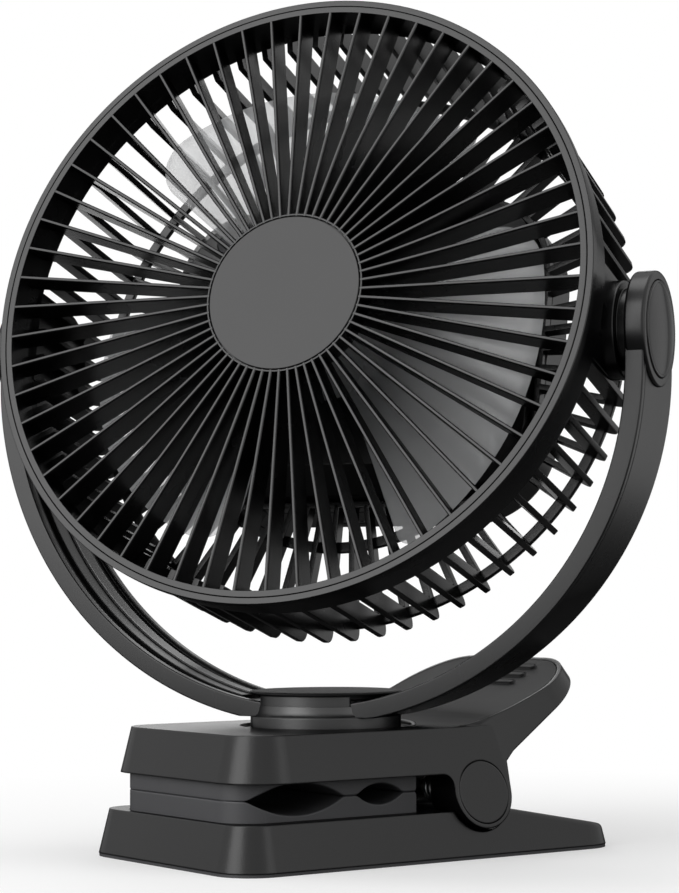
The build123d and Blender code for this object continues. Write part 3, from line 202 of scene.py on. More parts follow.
def grip_pad(name, body, replaces, seat, face):
    """A pad as cross sections along its length, between the heights of its seat and its
    gripping face: the half width follows the rounded plan, the face dips along circular
    hollows smoothed where they meet it, and the face's edges are quarter rounds."""
    along = np.linspace(PAD_FRONT, PAD_REAR, PAD_CUTS)
    inward = np.clip(PAD_FRONT + PAD_CORNER - along, 0, None)
    half = PAD_HALF - PAD_CORNER + np.sqrt(PAD_CORNER ** 2 - inward ** 2)
    depth = 0 * along
    for middle, width, deep in HOLLOWS:
        radius = (deep ** 2 + width ** 2 / 4) / (2 * deep)
        arc = np.sqrt(np.clip(radius ** 2 - (along - middle) ** 2, 0, None)) - radius + deep
        depth = np.maximum(depth, arc)
    window = np.hanning(2 * BLEND_CUTS + 1)
    depth = np.convolve(np.pad(depth, BLEND_CUTS, "edge"), window / window.sum(), "valid")
    ends = np.clip(1 - np.minimum(along - PAD_FRONT, PAD_REAR - along) / PAD_EDGE, 0, 1)
    depth += PAD_EDGE * (1 - np.sqrt(1 - ends ** 2))
    quarter = np.linspace(0, math.pi / 2, 5)
    low, high = PAD_EDGE * (1 - np.cos(quarter)), PAD_EDGE * (1 - np.sin(quarter))
    across = np.repeat([1.0, -1.0], 1 + len(quarter))
    inset = np.concatenate([[0], low, high, [0]])
    towards = math.copysign(1, face - seat)
    x = across * (half[:, None] - inset)
    y = along[:, None] + 0 * x
    z = np.full_like(x, seat)
    z[:, 1:-1] = face - towards * (depth[:, None] + np.concatenate([high, low]))
    skin(name, [np.stack([x, y, z], -1)], pad_rubber, body, [replaces], caps=True)


pad_rubber = moulding("pad_rubber", "pad", "48484a", rough=0.5, grain=0.5, height=0.02,
                      specular=0.45)
lever_rubber = moulding("lever_rubber", "lever_pad", "151516", rough=0.5, grain=0.5, height=0.02,
                        specular=0.25)
dress(pad_rubber, "base_sole")
lever_mesh = bpy.data.meshes.new("lever_pad_moulded")
shade(nodes["lever_pad"].data, lever_mesh, flat=1.0)
show(lever_mesh, lever_rubber, "clamp_top", ["lever_pad"], rounding=LEVER_PAD_EDGE)
grip_pad("lower_grip_pad", "clamp_base", "lower_pad", seat=13.2, face=21.8)
grip_pad("upper_grip_pad", "clamp_top", "upper_pad", seat=29.2, face=21.83)

# ------------------------------------------------------------------ springs, pins and screws
# The clamp's hinge pin, its two torsion springs, the motor's shaft and most screws are
# zinc-plated steel: bright, with faint drawing lines. The housing's screws are blackened.
STREAK = 0.08                # how far the roughness moves in a streak


def metal(name, slot, colour, rough, scratch):
    """Bare metal whose roughness varies in fine streaks of a width in mm."""
    made, tree, shader, place = blank(name, slot)
    shader.inputs["Base Color"].default_value = linear(colour)
    shader.inputs["Metallic"].default_value = 1.0
    streaks = add_node(tree, "ShaderNodeTexNoise", [("Vector", place, "Object")],
                       Scale=1 / (scratch * MM), Detail=4.0)
    spread = add_node(tree, "ShaderNodeMapRange", [("Value", streaks, "Fac")],
                      To_Min=rough - STREAK, To_Max=rough + STREAK)
    tree.links.new(spread.outputs["Result"], shader.inputs["Roughness"])
    return made


zinc_plate = metal("zinc_plate", "steel", "c4c5c6", rough=0.3, scratch=0.8)
blackened_steel = metal("blackened_steel", "steel", "2b2b2c", rough=0.42, scratch=0.8)
dress(zinc_plate, "hinge_pin", "torsion_springs", "hub_screws", "swivel_washer", "swivel_screw",
      "pivot_screws", "motor_bearings", "motor_screws", "motor_shaft", "blade_nut")
dress(blackened_steel, "housing_screws")

# ------------------------------------------------------------------ yoke
# A flat U-shaped strap of ABS, moulded smooth, with softened edges, a thin seam along its outer
# face and a channel inside that two cover strips close. Its flat foot lies in the hub, and its
# round arm ends carry the ears that the head hangs from.
YAW, TILT = math.radians(31.26), math.radians(15.42)     # yoke on the clamp, head in the yoke
PIVOT_HEIGHT, HUB_FLOOR = 167.0, 45.0
PIVOT = np.array([0.0, 0.0, PIVOT_HEIGHT])
ACROSS = np.array([math.cos(YAW), math.sin(YAW), 0.0])
AHEAD = np.array([math.sin(YAW), -math.cos(YAW), 0.0])
UP = np.array([0.0, 0.0, 1.0])
YOKE_IN, YOKE_DROP = 107.7, 10.8         # inner radius, and its centre below the pivots
YOKE_HALF, YOKE_THICK = 16.5, 6.0
CHANNEL_HALF, CHANNEL_DEEP = 13.5, 1.5
SEAM, SEAM_HALF, SEAM_FLOOR, SEAM_DEEP = 13.9, 0.25, 0.15, 0.4
TIP_CUTS, TIP_LEFT, TIP_SHARE = 14, 0.02, 1e-4     # the round end stops just short of a point
EAR_IN, EAR_OUT, EAR_RADIUS = 107.9, 114.6, 18.3
SCREW_HOLE, CAP_HOLE, CAP_SEAT = 3.05, 15.5, 113.8       # two radii, and the cap's place


def placed(points, origin, *axes):
    """Points given along three axes from an origin, as points of the whole fan."""
    return origin + points @ np.array(axes)


def rounded(corners, radius, steps=4):
    """A closed outline whose corners are quadratic curves that start one radius from each."""
    corners = np.asarray(corners, float)
    radius = np.broadcast_to(np.asarray(radius, float), len(corners))[:, None]
    back = np.roll(corners, 1, axis=0) - corners
    on = np.roll(corners, -1, axis=0) - corners
    start = corners + back / np.linalg.norm(back, axis=1, keepdims=True) * radius
    end = corners + on / np.linalg.norm(on, axis=1, keepdims=True) * radius
    t = np.linspace(0, 1, steps)[None, :, None]
    arcs = (1 - t) ** 2 * start[:, None] + 2 * t * (1 - t) * corners[:, None]
    return (arcs + t ** 2 * end[:, None]).reshape(-1, 2)


def turned(profile, origin, radial, side, axis, segments=128):
    """A profile of (radius, height) points spun about an axis: rows run round the axis."""
    angle = np.linspace(0, 2 * math.pi, segments, endpoint=False)[:, None]
    r, h = np.asarray(profile, float).T
    local = np.stack([r * np.cos(angle), r * np.sin(angle), h + 0 * angle], -1)
    return placed(local, origin, radial, side, axis)


# the strap's section, from its inner face to its outer one and along its width
strap = rounded(
    [(0, -YOKE_HALF), (YOKE_THICK, -YOKE_HALF),
     (YOKE_THICK, SEAM - SEAM_HALF), (YOKE_THICK - SEAM_DEEP, SEAM - SEAM_FLOOR),
     (YOKE_THICK - SEAM_DEEP, SEAM + SEAM_FLOOR), (YOKE_THICK, SEAM + SEAM_HALF),
     (YOKE_THICK, YOKE_HALF), (0, YOKE_HALF), (0, CHANNEL_HALF), (CHANNEL_DEEP, CHANNEL_HALF),
     (CHANNEL_DEEP, -CHANNEL_HALF), (0, -CHANNEL_HALF)],
    [0.4, 0.4, 0.12, 0.1, 0.1, 0.12, 0.4, 0.4, 0.25, 0.25, 0.25, 0.25])
# the section is carried up one leg, round the half circle and up the other, and narrows as a
# circle does towards each leg's end; whatever would pass below the foot is flattened there
arc = np.radians(np.linspace(180, 360, 121))
leg = YOKE_DROP + YOKE_HALF * np.sin(np.linspace(0, math.pi / 2, TIP_CUTS)) - TIP_LEFT
height = np.concatenate([leg[::-1], 0 * arc, leg])
turn = np.concatenate([np.full(TIP_CUTS, math.pi), arc, np.full(TIP_CUTS, 2 * math.pi)])
past = (height - YOKE_DROP).clip(0) / YOKE_HALF
narrow = np.sqrt(np.clip(1 - past ** 2, TIP_SHARE, 1))
radius = YOKE_IN + strap[:, 0]
band = np.stack([
    radius[None] * np.cos(turn)[:, None],
    radius[None] * np.sin(turn)[:, None] - YOKE_DROP + height[:, None],
    strap[None, :, 1] * narrow[:, None],
], -1)
band[..., 1] = np.maximum(band[..., 1], HUB_FLOOR - PIVOT_HEIGHT)
ear = rounded([(SCREW_HOLE, EAR_IN), (EAR_RADIUS, EAR_IN), (EAR_RADIUS, EAR_OUT),
               (CAP_HOLE, EAR_OUT), (CAP_HOLE, CAP_SEAT), (SCREW_HOLE, CAP_SEAT)],
              [0.1, 0.9, 1.1, 0.25, 0.15, 0.1])
satin_abs = moulding("satin_abs", "trim", "070708", rough=0.27, grain=0.9, height=0.003,
                     specular=0.4, wear=0.02, edge=0.4)
skin("yoke_strap", [placed(band, PIVOT, ACROSS, UP, AHEAD)], satin_abs, "yoke", ["yoke"],
     caps=True, sharp=40)
skin("yoke_ears", [turned(ear, PIVOT, AHEAD * side, UP, ACROSS * side) for side in (-1, 1)],
     satin_abs, "yoke", ["yoke"], ring=True)
dress(satin_abs, "yoke_cover_left", "yoke_cover_right")

# ------------------------------------------------------------------ hub, its lid, pivot caps
# The swivel hub is a short ABS barrel with a flared foot, closed by a flat press-in lid. A
# gently domed cap is pressed into each ear over the pivot screw, with a fine groove round it.
ORIGIN = np.zeros(3)
LID_TOP = 53.3
DOME_RADIUS, DOME_TOP, DOME_FALL, DOME_POWER = 14.2, 116.2, 1.2, 2.2
flare = [(22.6, 0), (24.65, 0), (24.2, 0.25), (23.7, 0.8), (23.3, 1.8), (23.05, 3.6), (22.6, 3.8)]
lid = [(0, 0), (23.9, -0.2), (24.7, -0.35), (25.0, -0.6), (25.0, -0.9), (24.8, -1.1),
       (22.2, -1.2), (22.2, -2.2), (0, -2.2)]
hub_abs = moulding("hub_abs", "shell", "0d0d0e", rough=0.4, grain=0.45, height=0.022,
                   specular=0.9, edge=0.5)
lid_abs = moulding("lid_abs", "trim", "0c0c0d", rough=0.6, grain=0.45, height=0.03, specular=0.3)
dress(hub_abs, "swivel_hub")
skin("hub_flare", [turned(flare, ORIGIN + HUB_FLOOR * UP, ACROSS, AHEAD, UP)], hub_abs, "yoke",
     ring=True)
skin("hub_lid", [turned(lid, ORIGIN + LID_TOP * UP, ACROSS, AHEAD, UP)], lid_abs, "yoke",
     ["hub_cap"], ring=True, loop=False)

# the dome falls from its middle with a power of the radius, then its rim dips into the groove
crown = np.linspace(0, 1, 14)
dome = np.stack([DOME_RADIUS * crown, DOME_TOP - DOME_FALL * crown ** DOME_POWER], -1)
rim = [(14.4, 114.8), (14.55, 114.95), (15.0, 114.9), (15.2, 114.75), (15.3, 114.5),
       (15.3, CAP_SEAT), (0, CAP_SEAT)]
cap = np.concatenate([dome, rim])
skin("pivot_domes", [turned(cap, PIVOT, AHEAD * side, UP, ACROSS * side) for side in (-1, 1)],
     satin_abs, "yoke", ["pivot_cap_left", "pivot_cap_right"], ring=True, loop=False)

# ------------------------------------------------------------------ front grille
# One ABS moulding: a rim, a hub ring and radial ribs that are deep from front to back and thin
# seen from the front. Each rib's front is a narrow ridge with chamfers that draws a light line.
FACING = AHEAD * math.cos(TILT) + UP * math.sin(TILT)
RISING = UP * math.cos(TILT) - AHEAD * math.sin(TILT)
HEAD_RISE, HEAD_AHEAD = 4.8, 34.9        # the grille's front from the pivots
HEAD = PIVOT + RISING * HEAD_RISE + FACING * HEAD_AHEAD
RIBS, RIB_START, RIB_END, RIB_DEEP, RIB_SET_BACK = 58, 26.3, 99.4, 10.0, 0.05
RIDGE_HALF, RIB_HALF, RIB_REAR_HALF, CHAMFER_DEEP = 0.34, 0.65, 0.5, 0.45
RIM_IN, RIM_OUT, RIM_DEEP = 98.5, 100.6, 11.0
WEB_IN, WEB_OUT, WEB_FRONT, WEB_REAR = 2.0, 27.0, -2.6, -4.5     # the wall behind the disc


def in_head(points):
    """Points drawn across, up and forward from the grille's centre, as points of the fan."""
    return placed(points, HEAD, ACROSS, RISING, FACING)


def hoop(corners, radius):
    """A ring about the head's axis with a rounded section given as (radius, forward)."""
    return turned(rounded(corners, radius), HEAD, ACROSS, RISING, FACING, segments=192)


def box_hoop(inner, outer, front, rear, radius):
    """A ring about the head's axis with a rounded rectangle as its section."""
    return hoop([(inner, front), (outer, front), (outer, rear), (inner, rear)], radius)


def fanned(points, angles):
    """Points turned about the head's axis by each angle, one copy for each; points that are
    copies already take one angle each."""
    c, s = np.cos(angles)[:, None, None], np.sin(angles)[:, None, None]
    x, y, z = points[..., 0], points[..., 1], points[..., 2]
    return np.stack([x * c - y * s, x * s + y * c, z + 0 * c], -1)


rib = rounded([(-RIDGE_HALF, 0), (RIDGE_HALF, 0), (RIB_HALF, -CHAMFER_DEEP),
               (RIB_REAR_HALF, -RIB_DEEP), (-RIB_REAR_HALF, -RIB_DEEP),
               (-RIB_HALF, -CHAMFER_DEEP)], [0.08, 0.08, 0.15, 0.15, 0.15, 0.15], steps=3)
reach = np.array([RIB_START, 40.0, 60.0, 80.0, RIB_END])[:, None]
rib_grid = np.stack([reach + 0 * rib[:, 0], rib[:, 0] + 0 * reach,
                     rib[:, 1] - RIB_SET_BACK + 0 * reach], -1)
rib_copies = fanned(rib_grid, np.arange(RIBS) * 2 * math.pi / RIBS)
grille_abs = moulding("grille_abs", "trim", "060607", rough=0.27, grain=0.9, height=0.003,
                      specular=0.42, wear=0.02)
skin("grille_ribs", list(in_head(rib_copies)), grille_abs, "head", ["front_grille"], caps=True)
hub_ring = [(26.4, -0.1), (27, -0.1), (27, -8), (25.6, -8), (25.6, -1.2), (26.4, -1.2)]
skin("grille_rims",
     [box_hoop(RIM_IN, RIM_OUT, 0, -RIM_DEEP, 0.22), hoop(hub_ring, 0.12),
      box_hoop(WEB_IN, WEB_OUT, WEB_FRONT, WEB_REAR, 0.1)],
     grille_abs, "head", ["front_grille"], ring=True)

# ------------------------------------------------------------------ centre disc
# A flat disc of satin ABS with a softly rounded rim, pressed into the grille's hub ring. It is
# left bare.
disc = [(0, 0), (25.7, 0), (25.9, -0.06), (26.0, -0.2), (26.0, -0.9), (25.5, -0.95),
        (25.5, -2.5), (0, -2.5)]
disc_abs = moulding("disc_abs", "disc", "0c0c0d", rough=0.34, grain=0.6, height=0.006,
                    specular=0.4, wear=0.02)
skin("bare_disc", [turned(disc, HEAD, ACROSS, RISING, FACING)], disc_abs, "head",
     ["centre_disc"], ring=True, loop=False)

# ------------------------------------------------------------------ rear cage
# The other half of the cage, one ABS moulding: a band with a collar round the grille's rim, then
# straight L-shaped slats that turn inwards to a flange round the housing, tied by two hoops. A
# plate and a stepped boss on each side carry the pivots.
SLATS, FIRST_SLAT = 65, -61.6            # how many, and the first one's place in degrees
SLAT_HALF, SLAT_EDGE = 1.0, 0.35         # half thickness, and the rounding of its edges
SLAT_OUT, SLAT_IN, SLAT_FRONT = 101.2, 94.2, -14.5       # where a slat starts in the band
DRUM_OUT, DRUM_IN, OUTER_BEND, INNER_BEND = 100.4, 93.4, 4.0, 1.0
BAND_OUT, BAND_IN, BAND_REAR, COLLAR_OUT = 101.6, 99.0, -16.5, 102.85
CAGE_REAR, ARM_FRONT, HOOP_FRONT = -62.0, -57.0, -60.0
HOOPS = ((92.1, 95.7), (65.6, 69.2))     # inner and outer radius of each
HOUSE_HALF, HOUSE_CORNER = np.array([66.0, 52.0]), 26.0
FLANGE_IN, FLANGE_OUT, ARM_END = 0.25, 2.7, 1.4          # beyond the housing's outline
BOSS_START, BOSS_STEP, BOSS_END, BOSS_RADIUS, NECK_RADIUS = 98.6, 104.0, 107.4, 15.7, 13.0
TAB_HALF, TAB_FRONT = 15.7, 19.9
TAB_LAYERS = ((0.0, BOSS_START), (0.0, 101.0), (0.2, 101.4), (0.6, 101.58))   # inset and place


def from_outline(points, grow):
    """Signed distance of points from the housing's rounded outline, grown by an amount."""
    q = np.abs(points) - (HOUSE_HALF - HOUSE_CORNER)
    outside = np.linalg.norm(np.maximum(q, 0), axis=-1)
    return outside + np.minimum(q.max(-1), 0) - HOUSE_CORNER - grow


def outline_radius(angle, grow):
    """Distance from the head's axis to the grown outline along each angle, by search."""
    reach = np.linspace(40, 95, 1101)
    ray = np.stack([np.cos(angle), np.sin(angle)], -1)
    gap = from_outline(ray[:, None] * reach[None, :, None], grow)
    return reach[np.abs(gap).argmin(1)]


def slat_edge(front, wall, rear, bend, arm_end):
    """One edge of every slat as (radius, forward): a point in the band, a quarter circle of the
    bend's radius from the drum's wall to the rear plane, and a point at the slat's own end."""
    quarter = np.linspace(0, math.pi / 2, 6)
    radius = np.concatenate([[front], wall - bend + bend * np.cos(quarter)])
    forward = np.concatenate([[SLAT_FRONT], rear + bend - bend * np.sin(quarter)])
    shared = np.stack([radius, forward], -1)[None].repeat(SLATS, 0)
    own = np.stack([arm_end, 0 * arm_end + rear], -1)[:, None]
    return np.concatenate([shared, own], 1)


# each slat is a thin rounded section whose width spans from its outer to its inner edge
slat_angle = np.radians(FIRST_SLAT + np.arange(SLATS) * 360 / SLATS)
arm_end = outline_radius(slat_angle, ARM_END)
outer = slat_edge(SLAT_OUT, DRUM_OUT, CAGE_REAR, OUTER_BEND, arm_end)
inner = slat_edge(SLAT_IN, DRUM_IN, ARM_FRONT, INNER_BEND, arm_end)
width = np.linalg.norm(outer - inner, axis=-1, keepdims=True)
square = SLAT_HALF * np.array([(-1, -1), (1, -1), (1, 1), (-1, 1)])
cut = rounded(square, SLAT_EDGE, steps=3)
offset = cut[:, 0] + np.sign(cut[:, 0]) * (width / 2 - SLAT_HALF)
plate = (outer + inner)[:, :, None] / 2 + ((outer - inner) / width)[:, :, None] * offset[..., None]
slat = np.stack([plate[..., 0], cut[:, 1] + 0 * offset, plate[..., 1]], -1)
skin("cage_slats", list(in_head(fanned(slat, slat_angle))), grille_abs, "head", ["rear_cage"],
     caps=True)

# the flange is a lip whose section runs between two outlines grown from the housing's
around = np.linspace(0, 2 * math.pi, 160, endpoint=False)
lip = rounded([(FLANGE_IN, CAGE_REAR), (FLANGE_OUT, CAGE_REAR), (FLANGE_OUT, ARM_FRONT),
               (FLANGE_IN, ARM_FRONT)], 0.4)
share = (lip[:, 0] - FLANGE_IN) / (FLANGE_OUT - FLANGE_IN)
near, far = (outline_radius(around, grow)[:, None] for grow in (FLANGE_IN, FLANGE_OUT))
lip_radius = near * (1 - share) + far * share
flange = np.stack([lip_radius * np.cos(around)[:, None], lip_radius * np.sin(around)[:, None],
                   lip[:, 1] + 0 * lip_radius], -1)
collar = [(100.8, 0), (COLLAR_OUT, 0), (COLLAR_OUT, -4), (BAND_OUT, -4.05), (BAND_OUT, BAND_REAR),
          (BAND_IN, BAND_REAR), (BAND_IN, -11.1), (100.8, -11.1)]
skin("cage_rings",
     [hoop(collar, [0.18, 0.3, 0.3, 0.15, 0.5, 0.4, 0.1, 0.1]),
      *(box_hoop(inside, outside, CAGE_REAR, HOOP_FRONT, 0.5) for inside, outside in HOOPS),
      in_head(flange)],
     grille_abs, "head", ["rear_cage"], ring=True)

# a pivot plate is its outline in layers, bowed to follow the band; the boss stands on it
boss = rounded([(SCREW_HOLE, BOSS_START), (BOSS_RADIUS, BOSS_START), (BOSS_RADIUS, BOSS_STEP),
                (NECK_RADIUS, BOSS_STEP), (NECK_RADIUS, BOSS_END), (SCREW_HOLE, BOSS_END)],
               [0.1, 0.1, 0.6, 0.3, 0.6, 0.1])
half_turn = np.linspace(-math.pi / 2, math.pi / 2, 25)
round_end = TAB_HALF * np.stack([-np.cos(half_turn), np.sin(half_turn)], -1)
tab_loop = np.concatenate([[(TAB_FRONT, -TAB_HALF)], round_end, [(TAB_FRONT, TAB_HALF)]])
tab_grids = []
for side in (-1, 1):
    layers = []
    for inset, level in TAB_LAYERS:
        forward, rising = (tab_loop * [1, (TAB_HALF - inset) / TAB_HALF]).T
        bow = np.sqrt(BAND_OUT ** 2 - (rising - HEAD_RISE) ** 2) - BAND_OUT
        layers.append(np.stack([side * (level + bow), rising, forward], -1))
    tab_grids.append(placed(np.array(layers), PIVOT, ACROSS, RISING, FACING))
skin("pivot_plates", tab_grids, grille_abs, "head", ["rear_cage"], caps=True)
skin("pivot_bosses",
     [turned(boss, PIVOT, FACING * side, RISING, ACROSS * side) for side in (-1, 1)],
     grille_abs, "head", ["rear_cage"], ring=True)

# ------------------------------------------------------------------ fan blades
# Three broad blades on a cup-shaped hub, injection moulded in clear smoke-tinted plastic: they
# look pale against the light and grey against the motor housing.
BLADE_ANGLES = np.radians([0, 120, 240])
LEAD, SPAN = math.radians(20), math.radians(86)          # where a blade starts, and its width
TIP, ROOT, LEAD_CORNER, TRAIL_CORNER = 82.0, 23.4, 14.0, 5.0
BLADE_FRONT, BLADE_FALL, CAMBER = 13.0, 25.0, 2.5
BLADE_HALF, BLADE_EDGE = 0.75, 1.2       # half thickness, and how far its rounded edge reaches
CUP_OUT, CUP_IN, CUP_FRONT, CUP_REAR, CUP_FLOOR = 24.0, 22.4, -11.0, -37.0, -12.6
SHAFT_HOLE, BLADE_ALPHA = 1.6, 0.36


def corner_reach(angle, radius):
    """Tip radius near a blade's edge: a corner arc that meets the edge and the tip circle."""
    reach = TIP - radius
    full = math.asin(radius / reach)
    a = np.clip(full - angle, 0, full)
    past = np.sqrt(np.clip(radius ** 2 - (reach * np.sin(a)) ** 2, 0, None))
    return np.where(angle < full, reach * np.cos(a) + past, TIP)


# a blade is a grid from its leading to its trailing edge and from root to tip; it falls back
# evenly across with a little camber, and its thickness ends in a half circle at the edges
chord = 0.5 - 0.5 * np.cos(np.linspace(0, math.pi, 49))
tip = np.minimum(corner_reach(chord * SPAN, LEAD_CORNER),
                 corner_reach((1 - chord) * SPAN, TRAIL_CORNER))
radial = ROOT + (tip[:, None] - ROOT) * np.linspace(0, 1, 25) ** 0.9
sweep = (LEAD - chord * SPAN)[:, None] + 0 * radial
fall = BLADE_FRONT + BLADE_FALL * chord - CAMBER * np.sin(chord * math.pi)
to_side = np.minimum(chord, 1 - chord)[:, None] * SPAN * radial
edge = np.minimum(to_side, tip[:, None] - radial) / BLADE_EDGE
thick = BLADE_HALF * np.sqrt(np.clip(1 - (1 - np.clip(edge, 0, 1)) ** 2, 0, 1))
blade_grids = []
for sign in (1, -1):
    face = np.stack([radial * np.cos(sweep), radial * np.sin(sweep),
                     sign * thick - fall[:, None]], -1)
    blade_grids += list(in_head(fanned(face, BLADE_ANGLES)))
cup = rounded([(SHAFT_HOLE, CUP_FRONT), (CUP_OUT, CUP_FRONT), (CUP_OUT, CUP_REAR),
               (CUP_IN, CUP_REAR), (CUP_IN, CUP_FLOOR), (SHAFT_HOLE, CUP_FLOOR)],
              [0.1, 2.5, 0.4, 0.4, 1.2, 0.1], steps=8)
smoke_plastic = moulding("smoke_plastic", "blade", "f4f5f6", rough=0.2, grain=4.0, height=0.01,
                         specular=0.6)
smoke_plastic.node_tree.nodes["Principled BSDF"].inputs["Alpha"].default_value = BLADE_ALPHA
skin("blades", blade_grids, smoke_plastic, "fan", ["fan_blades"], loop=False)
skin("blade_cup", [turned(cup, HEAD, ACROSS, RISING, FACING)], smoke_plastic, "fan",
     ["fan_blades"], ring=True)

# ------------------------------------------------------------------ motor
# An outrunner: a steel rotor cup with a magnet ring turns round wound teeth on a cast mount
# that is screwed to the housing. The charging inlet's shell has the mount's grey metal.
cast_alloy = metal("cast_alloy", "mount_metal", "b4b5b7", rough=0.45, scratch=1.2)
rotor_steel = metal("rotor_steel", "magnet", "8d8e90", rough=0.35, scratch=0.6)
enamelled_wire = metal("enamelled_wire", "copper", "b06a3a", rough=0.35, scratch=0.4)
dress(cast_alloy, "motor_mount", "charge_port")
dress(rotor_steel, "motor_rotor", "rotor_magnets")
dress(enamelled_wire, "motor_stator")

# ------------------------------------------------------------------ housing and electronics
# The motor and battery housing behind the cage is two ABS shells screwed together; inside are
# four cells in a tray, a main board and a small control board behind the button.
cell_wrap = moulding("cell_wrap", "cell", "2c5fa8", rough=0.35, grain=2.0, height=0.01)
tray_abs = moulding("tray_abs", "tray", "5a5a5a", rough=0.5, grain=0.9, height=0.02)
board_mask = moulding("board_mask", "board", "1f4d2c", rough=0.4, grain=0.8, height=0.01)
light_pipe = moulding("light_pipe", "lens", "d9dbe0", rough=0.35, grain=0.8, height=0.01)
dress(grained_abs, "rear_housing", "housing_back")
dress(satin_abs, "power_button")
dress(cell_wrap, "battery_cells")
dress(tray_abs, "battery_tray")
dress(board_mask, "circuit_board", "control_board")
dress(light_pipe, "indicator_lens")

# ------------------------------------------------------------------ floor
# A sheet of pale paper. Near the fan the camera sees it lit, with the soft shadow, and further
# off it fades to white. Every other ray sees it darker, but reflections see it white far off.
FLOOR_HALF = 4.0
FADE_START, FADE_END = 0.13, 0.36        # metres from the middle, as the camera sees it
MIRROR_START, MIRROR_END = 0.5, 0.9      # and as reflections see it
GLOW = 0.36

floor_mesh = bpy.data.meshes.new("floor")
corners = FLOOR_HALF * np.array([(-1, -1, 0), (1, -1, 0), (1, 1, 0), (-1, 1, 0)])
floor_mesh.from_pydata(corners, [], [(0, 1, 2, 3)])
floor = bpy.data.objects.new("floor", floor_mesh)
bpy.context.scene.collection.objects.link(floor)
paper = bpy.data.materials.new("pale_paper")
paper.use_nodes = True
tree = paper.node_tree
tree.nodes.remove(tree.nodes["Principled BSDF"])
ray = add_node(tree, "ShaderNodeLightPath")
place = add_node(tree, "ShaderNodeTexCoord")
away = add_node(tree, "ShaderNodeVectorMath", [(0, place, "Object")], operation="LENGTH")
fade = add_node(tree, "ShaderNodeMapRange", [("Value", away, "Value")], From_Min=FADE_START,
                From_Max=FADE_END)
sheet = add_node(tree, "ShaderNodeBsdfDiffuse", Color=linear("d6d6d6"))
glow = add_node(tree, "ShaderNodeEmission", Strength=GLOW)
lit = add_node(tree, "ShaderNodeAddShader", [(0, sheet, "BSDF"), (1, glow, "Emission")])
white = add_node(tree, "ShaderNodeEmission", Strength=1.0)
near_far = add_node(tree, "ShaderNodeMixShader", [(0, fade, "Result"), (1, lit, "Shader"),
                                                  (2, white, "Emission")])
dark = add_node(tree, "ShaderNodeBsdfDiffuse", Color=linear("707070"))
distant = add_node(tree, "ShaderNodeMapRange", [("Value", away, "Value")], From_Min=MIRROR_START,
                   From_Max=MIRROR_END)
bright = add_node(tree, "ShaderNodeMath", [(0, distant, "Result"), (1, ray, "Is Glossy Ray")],
                  operation="MULTIPLY")
unseen = add_node(tree, "ShaderNodeMixShader", [(0, bright, "Value"), (1, dark, "BSDF"),
                                                (2, white, "Emission")])
seen = add_node(tree, "ShaderNodeMixShader", [(0, ray, "Is Camera Ray"), (1, unseen, "Shader"),
                                              (2, near_far, "Shader")])
tree.links.new(seen.outputs["Shader"], tree.nodes["Material Output"].inputs["Surface"])
floor_mesh.materials.append(paper)

# ------------------------------------------------------------------ surround and lamps
# The surround is white to the camera, to reflections and through clear plastic, and gives a
# dimmer white light. Four soft lamps stand round the fan: a large one high in front of the
# clamp's mouth (-Y), one beside it (+X), one overhead and one behind (-X, +Y).
AMBIENT = 0.42

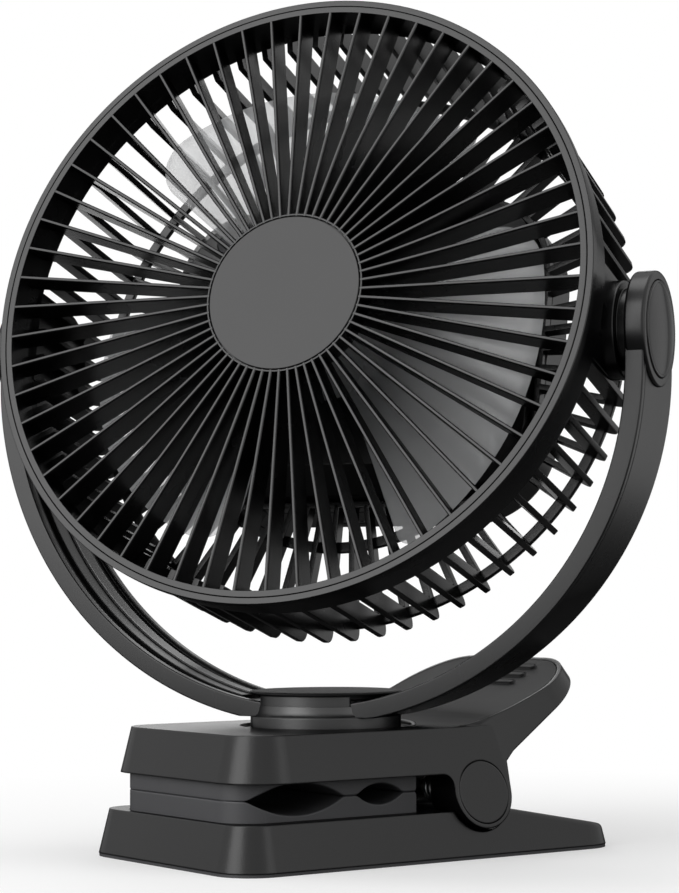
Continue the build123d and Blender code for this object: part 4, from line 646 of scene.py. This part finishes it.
world = bpy.data.worlds.new("studio")
bpy.context.scene.world = world
world.use_nodes = True
tree = world.node_tree
back = tree.nodes["Background"]
back.inputs["Color"].default_value = linear("ffffff")
back.inputs["Strength"].default_value = AMBIENT
clear = add_node(tree, "ShaderNodeBackground", Color=linear("ffffff"), Strength=1.0)
ray = add_node(tree, "ShaderNodeLightPath")
direct = add_node(tree, "ShaderNodeMath", [(0, ray, "Is Camera Ray"), (1, ray, "Is Glossy Ray")],
                  operation="MAXIMUM")
shown = add_node(tree, "ShaderNodeMath",
                 [(0, direct, "Value"), (1, ray, "Is Transmission Ray")], operation="MAXIMUM")
mixed = add_node(tree, "ShaderNodeMixShader", [(0, shown, "Value"), (1, back, "Background"),
                                               (2, clear, "Background")])
tree.links.new(mixed.outputs["Shader"], tree.nodes["World Output"].inputs["Surface"])


def softbox(name, place, aim, width, height, power):
    """A rectangular lamp that faces a point."""
    lamp = bpy.data.lights.new(name, "AREA")
    lamp.shape, lamp.size, lamp.size_y, lamp.energy = "RECTANGLE", width, height, power
    holder = bpy.data.objects.new(name, lamp)
    holder.location = place
    holder.rotation_mode = "QUATERNION"
    holder.rotation_quaternion = (Vector(aim) - Vector(place)).to_track_quat("-Z", "Y")
    bpy.context.scene.collection.objects.link(holder)


softbox("lamp_key", (0.08, -1.14, 0.66), (0, 0, 0.15), width=0.86, height=1.33, power=11.5)
softbox("lamp_right", (1.2, 0.35, 0.5), (0, 0, 0.12), width=0.4, height=0.8, power=1.2)
softbox("lamp_top", (-0.2, 0.1, 1.4), (0, 0, 0.1), width=0.7, height=0.7, power=3.5)
softbox("lamp_back", (-1.1, 0.75, 0.45), (0, 0, 0.13), width=0.7, height=0.7, power=3.5)

# ------------------------------------------------------------------ camera
# A full-frame camera with a long lens stands low in front of the clamp, to the right of its
# mouth, and looks slightly up. The shift frames the fan without turning the camera.
EYE = Vector((0.6582, -0.4640, 0.0881))
VIEW, RIGHT = Vector((-0.8073, 0.5887, 0.0414)), Vector((0.589, 0.808, -0.005))
SENSOR, FOCAL_LENGTH, SHIFT = 36.0, 98.55, (-0.0274, 0.0395)

view, right = VIEW.normalized(), RIGHT.normalized()
above = right.cross(view).normalized()
lens = bpy.data.cameras.new("camera")
lens.sensor_width, lens.lens = SENSOR, FOCAL_LENGTH
lens.shift_x, lens.shift_y = SHIFT
camera = bpy.data.objects.new("camera", lens)
camera.matrix_world = Matrix.LocRotScale(EYE, Matrix((right, above, -view)).transposed(), None)
bpy.context.scene.collection.objects.link(camera)
bpy.context.scene.camera = camera
bpy.context.scene.view_settings.view_transform = "Standard"
